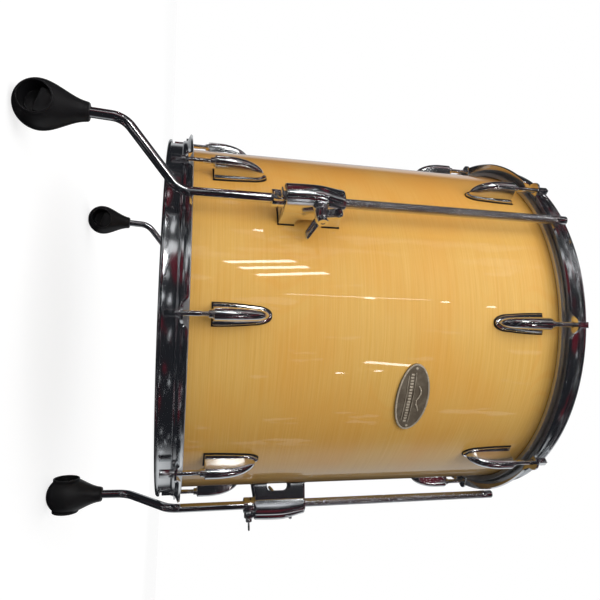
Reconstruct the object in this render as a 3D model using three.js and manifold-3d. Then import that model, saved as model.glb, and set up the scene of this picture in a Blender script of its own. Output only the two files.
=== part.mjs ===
// A 16 inch floor tom: a maple shell with a head at each end, pulled down by triple-flanged
// hoops on eight tension rods a side, standing on three bent legs held in clamp brackets.
// Millimetres, +Z up, drawn standing on its feet. Round the drum, angles run anticlockwise from
// +X seen from above, and every piece on the shell is drawn with X outwards, Y along the shell
// wall and Z up, then turned to its place.
import * as THREE from "three";
import { mergeVertices } from "three/addons/utils/BufferGeometryUtils.js";
import Module from "manifold-3d";

const wasm = await Module();
wasm.setup();

// ---------- driving dimensions ----------

const TOUCH_GAP = 0.3; // between pieces that rest on each other
const OVERRUN = 1; // how far a cutter passes a face, or a joined part runs into its neighbour
const ROUND_SIDES = 48; // facets round the drum, a multiple of the rods per side
const BORE_SIDES = 12; // facets round a leg rod, its bores and its clamps
const SMALL_SIDES = 8; // facets round a tension rod, a screw or a boss

// Shell
const SHELL_RADIUS = 203.2;
const SHELL_DEPTH = 406.4;
const SHELL_WALL = 7.5;
const EDGE_ROUND = 2; // outer side of the bearing edge
const VENT_BORE = 11;
const VENT_WALL = 1;
const VENT_RIM = 17;
const VENT_LIP = 1.6;

// Heads and their flesh hoops
const FILM = 0.4;
const FLESH_DROP = 6.2; // from the bearing edge to the top of the flesh hoop
const FLESH_HEIGHT = 8.5;
const FLESH_WIDTH = 5;
const FLESH_TO_COLLAR = 0.4;

// Triple-flanged hoops
const HOOP_SHEET = 2.3;
const HOOP_RISE = 13; // from the bearing edge to the lip
const HOOP_TO_COLLAR = 2.2;
const HOOP_TO_FLESH = 0.5;
const LIP_REACH = 3.8;
const FLARE_REACH = 8.3;
const FLARE_DEPTH = 5;
const SKIRT_HEIGHT = 5.4;
const EAR_SHEET = 2.4;
const EAR_BELOW_STEP = 3.6;
const EAR_WIDTH = 26;
const EAR_TIP_RADIUS = 8.6;
const EAR_TIP_SWEEP = 70; // degrees of the tip to each side of straight outwards
const SCALLOP_WIDTH = 22;

// Tension rods and lugs
const RODS_PER_SIDE = 8;
const ROD_DIAMETER = 5.4;
const ROD_HOLE_GAP = 0.5;
const WASHER_RADIUS = 4.9;
const WASHER_TO_HOOP = 0.6;
const WASHER_THICKNESS = 1.6;
const KEY_SQUARE = 6.2;
const KEY_HEIGHT = 9.4;
const KEY_COLLAR_HEIGHT = 3;
const ROD_IN_LUG = 26;
const LUG_SETBACK = 35.2; // from the bearing edge to the open end of the lug
const LUG_LENGTH = 53.5;
const LUG_WIDTH = 20;
const LUG_BASE = 4;
const LUG_BASE_TIP = 15; // length of the rounded end of the base
const LUG_BODY_WIDTH = 12.7;
const LUG_BODY_TIP = 12.7; // length of the rounded end of the body
const LUG_BODY_CREST = 13.4; // length at full height, from the open end
const LUG_TIP_INSET = 4;
const NUT_WALL = 0.8;
const NUT_LENGTH = 4.5;

// Badge
const BADGE_ANGLE = -67.5;
const BADGE_HEIGHT = 33; // of its middle above the middle of the shell
const BADGE_WIDTH = 74.5;
const BADGE_DEPTH = 35;
const BADGE_SHEET = 1.6;

// Leg brackets
const LEG_TURNS = [-52, 52, 180]; // from the badge
const LEG_ROD = 9.5;
const LEG_TO_HOOP = 0.75;
const LEG_BORE_GAP = 0.5;
const BRACKET_TOP = -46; // measured from the middle of the shell
const BRACKET_LENGTH = 61;
const BRACKET_WIDTH = 24;
const BRACKET_COVER = 12.3; // of metal outside the leg rod
const BRACKET_CROWN = 30.5; // from the top to the outermost line
const BRACKET_SHOULDER = 6; // how far the outer face falls back at the top
const BRACKET_BROW = 1.5; // and half way from there to the crown
const BRACKET_CHIN = 1; // and at the lower end
const BRACKET_SLANT = 5;
const ARCH_LENGTH = 28;
const ARCH_HEIGHT = 7.5;
const ARCH_FROM_TOP = 17;

// Wing bolts
const WING_FROM_TOP = 23;
const WING_THREAD = 8;
const WING_THREAD_GAP = 0.4;
const WING_HUB = 15;
const WING_HUB_LENGTH = 14;
const WING_SPAN_RADIUS = 23.5;
const WING_ROOT = 2; // from the hub's inner face
const WING_HEEL = 11; // from the hub's inner face, at the wing's outer edge
const WING_PAST_HUB = 7;
const WING_TIP = 4;
const WING_SHEET = 4.5;
const WING_TURN = -35;

// Stop clamps and their screws
const CLAMP_TURNS = [28, 0, 0]; // of each boss about its rod, from straight outwards
const CLAMP_WALL = 3.55;
const CLAMP_HEIGHT = 12.2;
const CLAMP_BOSS_REACH = 14.5; // from the axis of the leg
const CLAMP_BOSS_WIDTH = 9;
const CLAMP_BOSS_INSET = 1; // at the top and the bottom
const SCREW_THREAD = 5;
const SCREW_HEAD = 7;
const SCREW_HEAD_LENGTH = 4;
const SCREW_WING_LENGTH = 9;
const SCREW_WING_WIDTH = 9;
const SCREW_WING_SHEET = 1.8;

// Legs and feet
const LEG_BELOW_EDGE = 1.2; // from the upper bearing edge to the top of the rod
const KNEE_ABOVE_EDGE = 2.2; // from the lower bearing edge up to the bend
const KNEE_FALL = 51;
const KNEE_OFFSET = 62.5;
const KNEE_RADIUS = 24;
const KNEE_STEPS = 3;
const KNEE_TURNS = [-60.5, 105.5, 67.5]; // of each foot about its rod, from straight outwards
const LEG_LEAN = 3;
const FOOT_DROP = 29; // from the lower bend to the neck of the foot
const FOOT_LENGTH = 63.3;
const FOOT_NECK_WALL = 3.55;
const FOOT_BULB_RADIUS = 22;
const FOOT_THICKNESS = 40;
const FOOT_SOLE_CUT = 0.8;
const FOOT_SOCKET = 34;
const FOOT_SIDES = 16;
const POCKET_RADIUS = 13;
const FOOT_WEB = 8;

// ---------- places that follow from them ----------

const HALF_DEPTH = SHELL_DEPTH / 2;
const LEG_TOP = HALF_DEPTH - LEG_BELOW_EDGE;
const KNEE_DROP = HALF_DEPTH - KNEE_ABOVE_EDGE;
const HEAD_UNDER = HALF_DEPTH + TOUCH_GAP;
const HEAD_TOP = HEAD_UNDER + FILM;
const COLLAR_INNER = SHELL_RADIUS + TOUCH_GAP;
const COLLAR_OUTER = COLLAR_INNER + FILM;
const FLESH_TOP = HALF_DEPTH - FLESH_DROP;
const FLESH_BOTTOM = FLESH_TOP - FLESH_HEIGHT;
const FLESH_INNER = COLLAR_OUTER + FLESH_TO_COLLAR;
const FLESH_OUTER = FLESH_INNER + FLESH_WIDTH;
const HEAD_SEAT = FLESH_TOP + TOUCH_GAP;

const STEP_UNDER = HEAD_SEAT + FILM + TOUCH_GAP;
const STEP_TOP = STEP_UNDER + HOOP_SHEET;
const WALL_INNER = COLLAR_OUTER + HOOP_TO_COLLAR;
const WALL_OUTER = WALL_INNER + HOOP_SHEET;
const LIP_TOP = HALF_DEPTH + HOOP_RISE;
const SKIRT_INNER = FLESH_OUTER + HOOP_TO_FLESH;
const SKIRT_OUTER = SKIRT_INNER + HOOP_SHEET;
const SKIRT_BOTTOM = STEP_TOP - SKIRT_HEIGHT;
const FLARE_OUTER = SKIRT_OUTER + FLARE_REACH;
const FLARE_BOTTOM = SKIRT_BOTTOM - FLARE_DEPTH;
const EAR_TOP = STEP_TOP - EAR_BELOW_STEP;

const ROD_CIRCLE = SKIRT_OUTER + WASHER_TO_HOOP + WASHER_RADIUS;
const ROD_RADIUS = ROD_DIAMETER / 2;
const ROD_HOLE = ROD_RADIUS + ROD_HOLE_GAP;
const ROD_SEAT = EAR_TOP + TOUCH_GAP;
const NUT_RADIUS = ROD_HOLE + NUT_WALL;
const LUG_OPEN_END = HALF_DEPTH - LUG_SETBACK;
const LUG_SEAT = SHELL_RADIUS + TOUCH_GAP;

const LEG_CIRCLE = FLARE_OUTER + LEG_TO_HOOP + LEG_ROD / 2;
const LEG_BORE = LEG_ROD / 2 + LEG_BORE_GAP;
const BRACKET_BOTTOM = BRACKET_TOP - BRACKET_LENGTH;
const BRACKET_OUTER = LEG_CIRCLE + LEG_ROD / 2 + BRACKET_COVER;
const BRACKET_END = BRACKET_BOTTOM + BRACKET_SLANT / 2; // flat face for the stop clamp
const WING_HEIGHT = BRACKET_TOP - WING_FROM_TOP;
const CLAMP_TOP = BRACKET_END - TOUCH_GAP;
const CLAMP_BORE = LEG_ROD / 2 + TOUCH_GAP;
const CLAMP_RADIUS = CLAMP_BORE + CLAMP_WALL;
const FOOT_BORE = LEG_ROD / 2 + TOUCH_GAP;
const FOOT_NECK_RADIUS = FOOT_BORE + FOOT_NECK_WALL;

// ---------- solids ----------

function solidOf(geometry) {
  const bare = geometry.clone();
  bare.deleteAttribute("normal");
  bare.deleteAttribute("uv");
  const merged = mergeVertices(bare, 1e-4);
  return new wasm.Manifold(
    new wasm.Mesh({
      numProp: 3,
      vertProperties: merged.attributes.position.array,
      triVerts: new Uint32Array(merged.index.array),
    }),
  );
}

function geometryOf(solid) {
  const { vertProperties, triVerts } = solid.getMesh();
  const geometry = new THREE.BufferGeometry();
  geometry.setAttribute("position", new THREE.BufferAttribute(vertProperties, 3));
  geometry.setIndex(new THREE.BufferAttribute(triVerts, 1));
  return geometry;
}

function join(first, ...others) {
  return geometryOf(others.reduce((sum, piece) => sum.add(solidOf(piece)), solidOf(first)));
}

function cut(first, ...others) {
  return geometryOf(others.reduce((sum, piece) => sum.subtract(solidOf(piece)), solidOf(first)));
}

function common(first, second) {
  return geometryOf(solidOf(first).intersect(solidOf(second)));
}

// A closed outline of [radius, height] points turned round Z.
function turned(points, sides = ROUND_SIDES) {
  const outline = points.map(([radius, height]) => new THREE.Vector2(radius, height));
  const onAxis = outline[0].x === 0 && outline.at(-1).x === 0;
  const rising = THREE.ShapeUtils.area(outline) > 0;
  if (!rising) outline.reverse();
  if (!onAxis) outline.push(outline[0].clone());
  return new THREE.LatheGeometry(outline, sides).rotateX(Math.PI / 2);
}

function outlineOf(points) {
  return new THREE.Shape(points.map(([x, y]) => new THREE.Vector2(x, y)));
}

// A flat outline of [x, y] points, made solid between two heights.
function upright(points, bottom, top) {
  const depth = top - bottom;
  const solid = new THREE.ExtrudeGeometry(outlineOf(points), { depth, bevelEnabled: false });
  return solid.translate(0, 0, bottom);
}

// A side view of [x, z] points, made solid across Y with its middle at Y = 0.
function sideways(points, width) {
  const options = { depth: width, bevelEnabled: false };
  return new THREE.ExtrudeGeometry(outlineOf(points), options)
    .rotateX(Math.PI / 2)
    .translate(0, width / 2, 0);
}

// A front view of [y, z] points, made solid outwards from one X to another.
function outwards(points, from, to) {
  const axes = new THREE.Matrix4().makeBasis(
    new THREE.Vector3(0, 1, 0),
    new THREE.Vector3(0, 0, 1),
    new THREE.Vector3(1, 0, 0),
  );
  const options = { depth: to - from, bevelEnabled: false };
  return new THREE.ExtrudeGeometry(outlineOf(points), options)
    .applyMatrix4(axes)
    .translate(from, 0, 0);
}

function block(from, to) {
  const size = to.map((high, i) => high - from[i]);
  const middle = to.map((high, i) => (high + from[i]) / 2);
  return new THREE.BoxGeometry(...size).translate(...middle);
}

// A cylinder along Z between two heights.
function cylinder(radius, bottom, top, sides = BORE_SIDES) {
  return new THREE.CylinderGeometry(radius, radius, top - bottom, sides)
    .rotateX(Math.PI / 2)
    .translate(0, 0, (top + bottom) / 2);
}

const alongX = (geometry) => geometry.rotateY(Math.PI / 2);
const alongY = (geometry) => geometry.rotateX(-Math.PI / 2);

// Points of an arc, both ends included; angles in degrees.
function arc(cx, cy, radiusX, radiusY, from, to, steps) {
  return Array.from({ length: steps + 1 }, (_, i) => {
    const angle = THREE.MathUtils.degToRad(from + ((to - from) * i) / steps);
    return [cx + radiusX * Math.cos(angle), cy + radiusY * Math.sin(angle)];
  });
}

// ---------- materials ----------

const look = (color, roughness, metalness) =>
  new THREE.MeshStandardMaterial({ color, roughness, metalness });
const MATERIALS = {
  maple: () => look(0xd9a95f, 0.15, 0),
  coatedFilm: () => look(0xeeece4, 0.6, 0),
  clearFilm: () => look(0xdfe3e4, 0.15, 0),
  chrome: () => look(0xd8dadd, 0.08, 1),
  aluminium: () => look(0xb8babd, 0.35, 1),
  bronze: () => look(0x6f6455, 0.35, 1),
  rubber: () => look(0x1b1b1c, 0.6, 0),
};

const tom = new THREE.Group();

function add(parent, name, geometry, material) {
  const mesh = new THREE.Mesh(geometry, MATERIALS[material]());
  mesh.name = name;
  parent.add(mesh);
  return mesh;
}

function turnedGroup(parent, degrees) {
  const group = new THREE.Group();
  group.rotation.z = THREE.MathUtils.degToRad(degrees);
  parent.add(group);
  return group;
}

// ---------- shell ----------

function shell() {
  const inner = SHELL_RADIUS - SHELL_WALL;
  const crest = SHELL_RADIUS - EDGE_ROUND;
  const bevelFoot = HALF_DEPTH - (crest - inner); // the inside bevel falls at 45 degrees
  const shoulder = HALF_DEPTH - EDGE_ROUND;
  const tube = turned([
    [inner, -bevelFoot],
    [crest, -HALF_DEPTH],
    [SHELL_RADIUS, -shoulder],
    [SHELL_RADIUS, shoulder],
    [crest, HALF_DEPTH],
    [inner, bevelFoot],
  ]);
  const ventHole = VENT_BORE / 2 + TOUCH_GAP;
  const vent = alongX(cylinder(ventHole, inner - OVERRUN, SHELL_RADIUS + OVERRUN));
  return cut(tube, vent.rotateZ(THREE.MathUtils.degToRad(BADGE_ANGLE + 90)));
}

// The metal eyelet that lines the air vent, drawn with X outwards.
function ventGrommet() {
  const inner = SHELL_RADIUS - SHELL_WALL;
  const bore = VENT_BORE / 2;
  const eye = bore - VENT_WALL;
  const outer = SHELL_RADIUS + TOUCH_GAP;
  return alongX(
    turned(
      [
        [eye, inner],
        [bore, inner],
        [bore, outer],
        [VENT_RIM / 2, outer],
        [VENT_RIM / 2, outer + VENT_LIP],
        [eye, outer + VENT_LIP],
      ],
      SMALL_SIDES,
    ),
  );
}

// ---------- heads and hoops, drawn for the upper end ----------

function head() {
  return turned([
    [0, HEAD_UNDER],
    [COLLAR_INNER, HEAD_UNDER],
    [COLLAR_INNER, HEAD_SEAT],
    [FLESH_OUTER, HEAD_SEAT],
    [FLESH_OUTER, HEAD_SEAT + FILM],
    [COLLAR_OUTER, HEAD_SEAT + FILM],
    [COLLAR_OUTER, HEAD_TOP],
    [0, HEAD_TOP],
  ]);
}

function fleshHoop() {
  return turned([
    [FLESH_INNER, FLESH_BOTTOM],
    [FLESH_OUTER, FLESH_BOTTOM],
    [FLESH_OUTER, FLESH_TOP],
    [FLESH_INNER, FLESH_TOP],
  ]);
}

function ear() {
  const root = SKIRT_INNER + HOOP_SHEET / 2;
  const outline = [
    [root, -EAR_WIDTH / 2],
    ...arc(ROD_CIRCLE, 0, EAR_TIP_RADIUS, EAR_TIP_RADIUS, -EAR_TIP_SWEEP, EAR_TIP_SWEEP, 4),
    [root, EAR_WIDTH / 2],
  ];
  return upright(outline, EAR_TOP - EAR_SHEET, EAR_TOP);
}

function hoop() {
  const ring = turned([
    [WALL_INNER, STEP_UNDER],
    [SKIRT_INNER, STEP_UNDER],
    [SKIRT_INNER, SKIRT_BOTTOM],
    [FLARE_OUTER - HOOP_SHEET / 2, FLARE_BOTTOM],
    [FLARE_OUTER, FLARE_BOTTOM + HOOP_SHEET],
    [SKIRT_OUTER, SKIRT_BOTTOM + HOOP_SHEET / 2],
    [SKIRT_OUTER, STEP_TOP],
    [WALL_OUTER, STEP_TOP],
    [WALL_OUTER, LIP_TOP - HOOP_SHEET],
    [WALL_OUTER + LIP_REACH, LIP_TOP - HOOP_SHEET],
    [WALL_OUTER + LIP_REACH, LIP_TOP],
    [WALL_INNER, LIP_TOP],
  ]);
  const scallops = [];
  const ears = [];
  const holes = [];
  for (let i = 0; i < RODS_PER_SIDE; i++) {
    const angle = (2 * Math.PI * i) / RODS_PER_SIDE;
    const reach = FLARE_OUTER + FLARE_REACH;
    scallops.push(
      block(
        [SKIRT_OUTER, -SCALLOP_WIDTH / 2, FLARE_BOTTOM - HOOP_SHEET],
        [reach, SCALLOP_WIDTH / 2, EAR_TOP - EAR_SHEET],
      ).rotateZ(angle),
    );
    ears.push(ear().rotateZ(angle));
    holes.push(
      cylinder(ROD_HOLE, FLARE_BOTTOM - HOOP_SHEET, EAR_TOP + HOOP_SHEET, SMALL_SIDES)
        .translate(ROD_CIRCLE, 0, 0)
        .rotateZ(angle),
    );
  }
  return cut(join(cut(ring, ...scallops), ...ears), ...holes);
}

// ---------- lugs and tension rods, drawn for the upper end ----------

function lug() {
  const half = LUG_WIDTH / 2;
  const inner = LUG_OPEN_END - LUG_LENGTH;
  const base = outwards(
    [
      [-half, LUG_OPEN_END],
      ...arc(0, inner + LUG_BASE_TIP, half, LUG_BASE_TIP, 180, 360, 6),
      [half, LUG_OPEN_END],
    ],
    LUG_SEAT,
    LUG_SEAT + LUG_BASE,
  );
  // The bullet is full round the rod, then its back falls in a curve to the inner tip.
  const bodyHalf = LUG_BODY_WIDTH / 2;
  const crest = ROD_CIRCLE + bodyHalf;
  const end = inner + LUG_TIP_INSET;
  const full = LUG_OPEN_END - LUG_BODY_CREST;
  const back = arc(LUG_SEAT, full, crest - LUG_SEAT, full - end, 0, -90, 4);
  const profile = sideways(
    [[LUG_SEAT, LUG_OPEN_END], [crest, LUG_OPEN_END], ...back],
    LUG_WIDTH,
  );
  const plan = outwards(
    [
      [-bodyHalf, LUG_OPEN_END],
      ...arc(0, end + LUG_BODY_TIP, bodyHalf, LUG_BODY_TIP, 180, 360, 4),
      [bodyHalf, LUG_OPEN_END],
    ],
    LUG_SEAT,
    crest,
  );
  const section = upright(
    [
      [LUG_SEAT, -bodyHalf],
      ...arc(ROD_CIRCLE, 0, bodyHalf, bodyHalf, -90, 90, 4),
      [LUG_SEAT, bodyHalf],
    ],
    inner,
    LUG_OPEN_END,
  );
  const body = common(common(profile, plan), section);
  const nutEnd = LUG_OPEN_END + NUT_LENGTH;
  const nut = cylinder(NUT_RADIUS, LUG_OPEN_END - NUT_LENGTH, nutEnd, SMALL_SIDES);
  const boreEnd = LUG_OPEN_END - ROD_IN_LUG - TOUCH_GAP;
  const bore = cylinder(ROD_HOLE, boreEnd, nutEnd + NUT_LENGTH, SMALL_SIDES);
  return cut(
    join(base, body, nut.translate(ROD_CIRCLE, 0, 0)),
    bore.translate(ROD_CIRCLE, 0, 0),
  );
}

// Drawn on its own axis: the threaded shank, the washer, the collar and the square for the key.
function tensionRod() {
  const washerTop = ROD_SEAT + WASHER_THICKNESS;
  const collarTop = washerTop + KEY_COLLAR_HEIGHT;
  const spindle = turned(
    [
      [0, LUG_OPEN_END - ROD_IN_LUG],
      [ROD_RADIUS, LUG_OPEN_END - ROD_IN_LUG],
      [ROD_RADIUS, ROD_SEAT],
      [WASHER_RADIUS, ROD_SEAT],
      [WASHER_RADIUS, washerTop],
      [KEY_SQUARE / 2, collarTop],
      [0, collarTop],
    ],
    SMALL_SIDES,
  );
  const half = KEY_SQUARE / 2;
  return join(spindle, block([-half, -half, washerTop], [half, half, collarTop + KEY_HEIGHT]));
}

function fitEnd(name, side, filmMaterial) {
  const end = new THREE.Group();
  if (side < 0) end.rotation.x = Math.PI;
  tom.add(end);
  add(end, `${name}_head`, head(), filmMaterial);
  add(end, `${name}_flesh_hoop`, fleshHoop(), "aluminium");
  add(end, `${name}_hoop`, hoop(), "chrome");
  for (let i = 0; i < RODS_PER_SIDE; i++) {
    const place = turnedGroup(end, (side * 360 * i) / RODS_PER_SIDE);
    add(place, `${name}_lug_${i + 1}`, lug(), "chrome");
    const rod = add(place, `${name}_tension_rod_${i + 1}`, tensionRod(), "chrome");
    rod.position.x = ROD_CIRCLE;
  }
}

// ---------- badge ----------

function badge() {
  const inner = SHELL_RADIUS + TOUCH_GAP;
  const half = BADGE_DEPTH / 2 + BADGE_SHEET;
  const band = turned([
    [inner, BADGE_HEIGHT - half],
    [inner + BADGE_SHEET, BADGE_HEIGHT - half],
    [inner + BADGE_SHEET, BADGE_HEIGHT + half],
    [inner, BADGE_HEIGHT + half],
  ]);
  const oval = arc(0, BADGE_HEIGHT, BADGE_WIDTH / 2, BADGE_DEPTH / 2, 0, 360, 20).slice(1);
  const punch = outwards(oval, SHELL_RADIUS - SHELL_WALL, SHELL_RADIUS + SHELL_WALL);
  return common(band, punch.rotateZ(THREE.MathUtils.degToRad(BADGE_ANGLE)));
}

// ---------- leg brackets, wing bolts and stop clamps ----------

function bracket() {
  const archTop = BRACKET_TOP - ARCH_FROM_TOP;
  const archBottom = archTop - ARCH_LENGTH;
  const arch = arc(LUG_SEAT, (archTop + archBottom) / 2, ARCH_HEIGHT, ARCH_LENGTH / 2, -90, 90, 6);
  const crown = BRACKET_TOP - BRACKET_CROWN;
  const blockBody = sideways(
    [
      [LUG_SEAT, BRACKET_BOTTOM],
      ...arch,
      [LUG_SEAT, BRACKET_TOP],
      [BRACKET_OUTER - BRACKET_SHOULDER, BRACKET_TOP],
      [BRACKET_OUTER - BRACKET_BROW, (BRACKET_TOP + crown) / 2],
      [BRACKET_OUTER, crown],
      [BRACKET_OUTER - BRACKET_CHIN, BRACKET_BOTTOM + BRACKET_SLANT],
      [LEG_CIRCLE + CLAMP_RADIUS, BRACKET_END],
      [LEG_CIRCLE - CLAMP_RADIUS - TOUCH_GAP, BRACKET_END],
    ],
    BRACKET_WIDTH,
  );
  const legBore = cylinder(LEG_BORE, BRACKET_BOTTOM - LEG_ROD, BRACKET_TOP + LEG_ROD);
  const boltBore = alongY(cylinder(WING_THREAD / 2 + WING_THREAD_GAP, 0, BRACKET_WIDTH));
  return cut(
    blockBody,
    legBore.translate(LEG_CIRCLE, 0, 0),
    boltBore.translate(LEG_CIRCLE, 0, WING_HEIGHT),
  );
}

// Drawn on its own axis along Y, starting at the leg rod.
function wingBolt() {
  const face = BRACKET_WIDTH / 2 + TOUCH_GAP;
  const end = face + WING_HUB_LENGTH;
  const hub = WING_HUB / 2;
  const thread = alongY(cylinder(WING_THREAD / 2, LEG_ROD / 2 + TOUCH_GAP, face + OVERRUN));
  const barrel = alongY(cylinder(hub, face, end));
  const half = [
    [hub - OVERRUN, face + WING_ROOT],
    [WING_SPAN_RADIUS, face + WING_HEEL],
    [WING_SPAN_RADIUS, end + WING_PAST_HUB],
    [WING_SPAN_RADIUS - WING_TIP, end + WING_PAST_HUB],
    [hub - OVERRUN, end],
  ];
  const mirrored = half.map(([x, y]) => [-x, y]).reverse();
  const wings = upright([...half, ...mirrored], -WING_SHEET / 2, WING_SHEET / 2);
  return join(barrel, thread, wings).rotateY(THREE.MathUtils.degToRad(WING_TURN));
}

function stopClamp() {
  const bottom = CLAMP_TOP - CLAMP_HEIGHT;
  const half = CLAMP_BOSS_WIDTH / 2;
  const middle = (CLAMP_TOP + bottom) / 2;
  const ring = cylinder(CLAMP_RADIUS, bottom, CLAMP_TOP);
  const boss = block(
    [0, -half, bottom + CLAMP_BOSS_INSET],
    [CLAMP_BOSS_REACH, half, CLAMP_TOP - CLAMP_BOSS_INSET],
  );
  const bore = cylinder(CLAMP_BORE, bottom - OVERRUN, CLAMP_TOP + OVERRUN);
  const tapped = alongX(cylinder(SCREW_THREAD / 2 + TOUCH_GAP, 0, CLAMP_BOSS_REACH + OVERRUN));
  return cut(join(ring, boss), bore, tapped.translate(0, 0, middle));
}

// Drawn on its own axis along X, starting at the leg rod.
function stopScrew() {
  const seat = CLAMP_BOSS_REACH + TOUCH_GAP;
  const headEnd = seat + SCREW_HEAD_LENGTH;
  const half = SCREW_WING_WIDTH / 2;
  const thread = alongX(cylinder(SCREW_THREAD / 2, CLAMP_BORE + TOUCH_GAP, seat + OVERRUN));
  const cap = alongX(cylinder(SCREW_HEAD / 2, seat, headEnd));
  const wing = upright(
    [
      [headEnd - OVERRUN, -half / 2],
      [headEnd + SCREW_WING_LENGTH, -half],
      [headEnd + SCREW_WING_LENGTH, half],
      [headEnd - OVERRUN, half / 2],
    ],
    -SCREW_WING_SHEET / 2,
    SCREW_WING_SHEET / 2,
  );
  return join(cap, thread, wing);
}

// ---------- legs and feet, drawn on the axis of the rod with the foot towards X ----------

// A bent line through corners, each inner corner rounded, sampled only where it turns.
class BentLine extends THREE.Curve {
  constructor(corners, radius, steps) {
    super();
    this.stops = [corners[0]];
    corners.slice(1, -1).forEach((corner, i) => {
      const back = corners[i].clone().sub(corner).normalize();
      const ahead = corners[i + 2].clone().sub(corner).normalize();
      const half = back.angleTo(ahead) / 2;
      const middle = back.clone().add(ahead).setLength(radius / Math.sin(half)).add(corner);
      const reach = radius / Math.tan(half);
      const from = back.multiplyScalar(reach).add(corner).sub(middle);
      const to = ahead.multiplyScalar(reach).add(corner).sub(middle);
      const sweep = from.angleTo(to);
      for (let k = 0; k <= steps; k++) {
        const start = Math.sin((1 - k / steps) * sweep) / Math.sin(sweep);
        const finish = Math.sin((k / steps) * sweep) / Math.sin(sweep);
        this.stops.push(
          from.clone().multiplyScalar(start).addScaledVector(to, finish).add(middle),
        );
      }
    });
    this.stops.push(corners.at(-1));
  }

  getPointAt(u, target = new THREE.Vector3()) {
    return target.copy(this.stops[Math.round(u * (this.stops.length - 1))]);
  }

  getTangentAt(u, target = new THREE.Vector3()) {
    const i = Math.round(u * (this.stops.length - 1));
    const before = this.stops[Math.max(i - 1, 0)];
    const here = this.stops[i];
    const after = this.stops[Math.min(i + 1, this.stops.length - 1)];
    const arriving = here.clone().sub(before).normalize();
    const leaving = after.clone().sub(here).normalize();
    return target.copy(arriving).add(leaving).normalize();
  }
}

const LEAN = THREE.MathUtils.degToRad(LEG_LEAN);
const KNEE_BOTTOM = new THREE.Vector3(KNEE_OFFSET, 0, -KNEE_DROP - KNEE_FALL);
const LEG_END_WAY = new THREE.Vector3(Math.sin(LEAN), 0, -Math.cos(LEAN));
const FOOT_NECK = KNEE_BOTTOM.clone().addScaledVector(LEG_END_WAY, FOOT_DROP);
const FLOOR = FOOT_NECK.z - FOOT_LENGTH * Math.cos(LEAN) + FOOT_SOLE_CUT;

function legRod() {
  const path = new BentLine(
    [
      new THREE.Vector3(0, 0, LEG_TOP),
      new THREE.Vector3(0, 0, -KNEE_DROP),
      KNEE_BOTTOM,
      FOOT_NECK.clone().addScaledVector(LEG_END_WAY, FOOT_SOCKET - TOUCH_GAP),
    ],
    KNEE_RADIUS,
    KNEE_STEPS,
  );
  const rim = arc(0, 0, LEG_ROD / 2, LEG_ROD / 2, 0, 360, BORE_SIDES).slice(1);
  return new THREE.ExtrudeGeometry(outlineOf(rim), {
    steps: path.stops.length - 1,
    extrudePath: path,
  });
}

// The foot hangs from its neck along -Z, then leans with the end of the leg.
function foot() {
  const bulbCentre = FOOT_LENGTH - FOOT_BULB_RADIUS;
  const swell = FOOT_BULB_RADIUS - FOOT_NECK_RADIUS;
  const flank = [0, 0.2, 0.4, 0.6, 0.8].map((t) => {
    const ease = t * t * (3 - 2 * t);
    return [FOOT_NECK_RADIUS + swell * ease, -bulbCentre * t];
  });
  const bulb = arc(0, -bulbCentre, FOOT_BULB_RADIUS, FOOT_BULB_RADIUS, 0, -90, 5);
  bulb.at(-1)[0] = 0;
  const pear = turned([[0, 0], ...flank, ...bulb], FOOT_SIDES);
  const wide = FOOT_BULB_RADIUS + OVERRUN;
  const slab = block(
    [-wide, -FOOT_THICKNESS / 2, -FOOT_LENGTH - OVERRUN],
    [wide, FOOT_THICKNESS / 2, OVERRUN],
  );
  const pocket = (side) =>
    alongY(cylinder(POCKET_RADIUS, FOOT_WEB / 2, FOOT_THICKNESS))
      .rotateZ(side > 0 ? 0 : Math.PI)
      .translate(0, 0, -bulbCentre);
  const socket = cylinder(FOOT_BORE, -FOOT_SOCKET - TOUCH_GAP, OVERRUN);
  const body = cut(common(pear, slab), pocket(1), pocket(-1), socket);
  body.rotateY(-LEAN).translate(...FOOT_NECK);
  const below = block(
    [FOOT_NECK.x - 2 * wide, -2 * wide, FLOOR - FOOT_LENGTH],
    [FOOT_NECK.x + 2 * wide, 2 * wide, FLOOR],
  );
  return cut(body, below);
}

function fitLeg(number, angle, kneeTurn) {
  const place = turnedGroup(tom, angle);
  add(place, `leg_bracket_${number}`, bracket(), "chrome");
  const bolt = add(place, `wing_bolt_${number}`, wingBolt(), "chrome");
  bolt.position.set(LEG_CIRCLE, 0, WING_HEIGHT);
  const stop = turnedGroup(place, CLAMP_TURNS[number - 1]);
  stop.position.x = LEG_CIRCLE;
  add(stop, `stop_clamp_${number}`, stopClamp(), "chrome");
  const screw = add(stop, `stop_screw_${number}`, stopScrew(), "chrome");
  screw.position.z = CLAMP_TOP - CLAMP_HEIGHT / 2;
  const swivel = turnedGroup(place, kneeTurn);
  swivel.position.x = LEG_CIRCLE;
  add(swivel, `leg_${number}`, legRod(), "chrome");
  add(swivel, `foot_${number}`, foot(), "rubber");
}

// ---------- the drum ----------

add(tom, "shell", shell(), "maple");
add(turnedGroup(tom, BADGE_ANGLE + 90), "vent_grommet", ventGrommet(), "chrome");
fitEnd("batter", 1, "coatedFilm");
fitEnd("resonant", -1, "clearFilm");
add(tom, "badge", badge(), "bronze");
LEG_TURNS.forEach((turn, i) => fitLeg(i + 1, BADGE_ANGLE + turn, KNEE_TURNS[i]));

// The origin is the middle of the drum's outer box, on the floor.
const extent = new THREE.Box3().setFromObject(tom, true);
const centre = extent.getCenter(new THREE.Vector3());
const standing = new THREE.Group();
tom.position.set(-centre.x, -centre.y, -extent.min.z);
standing.add(tom);

export default standing;
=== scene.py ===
"""A floor tom: the finished pieces built round the fixed frame of the drum."""

import math

import bmesh
import bpy
from mathutils import Matrix, Vector


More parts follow.
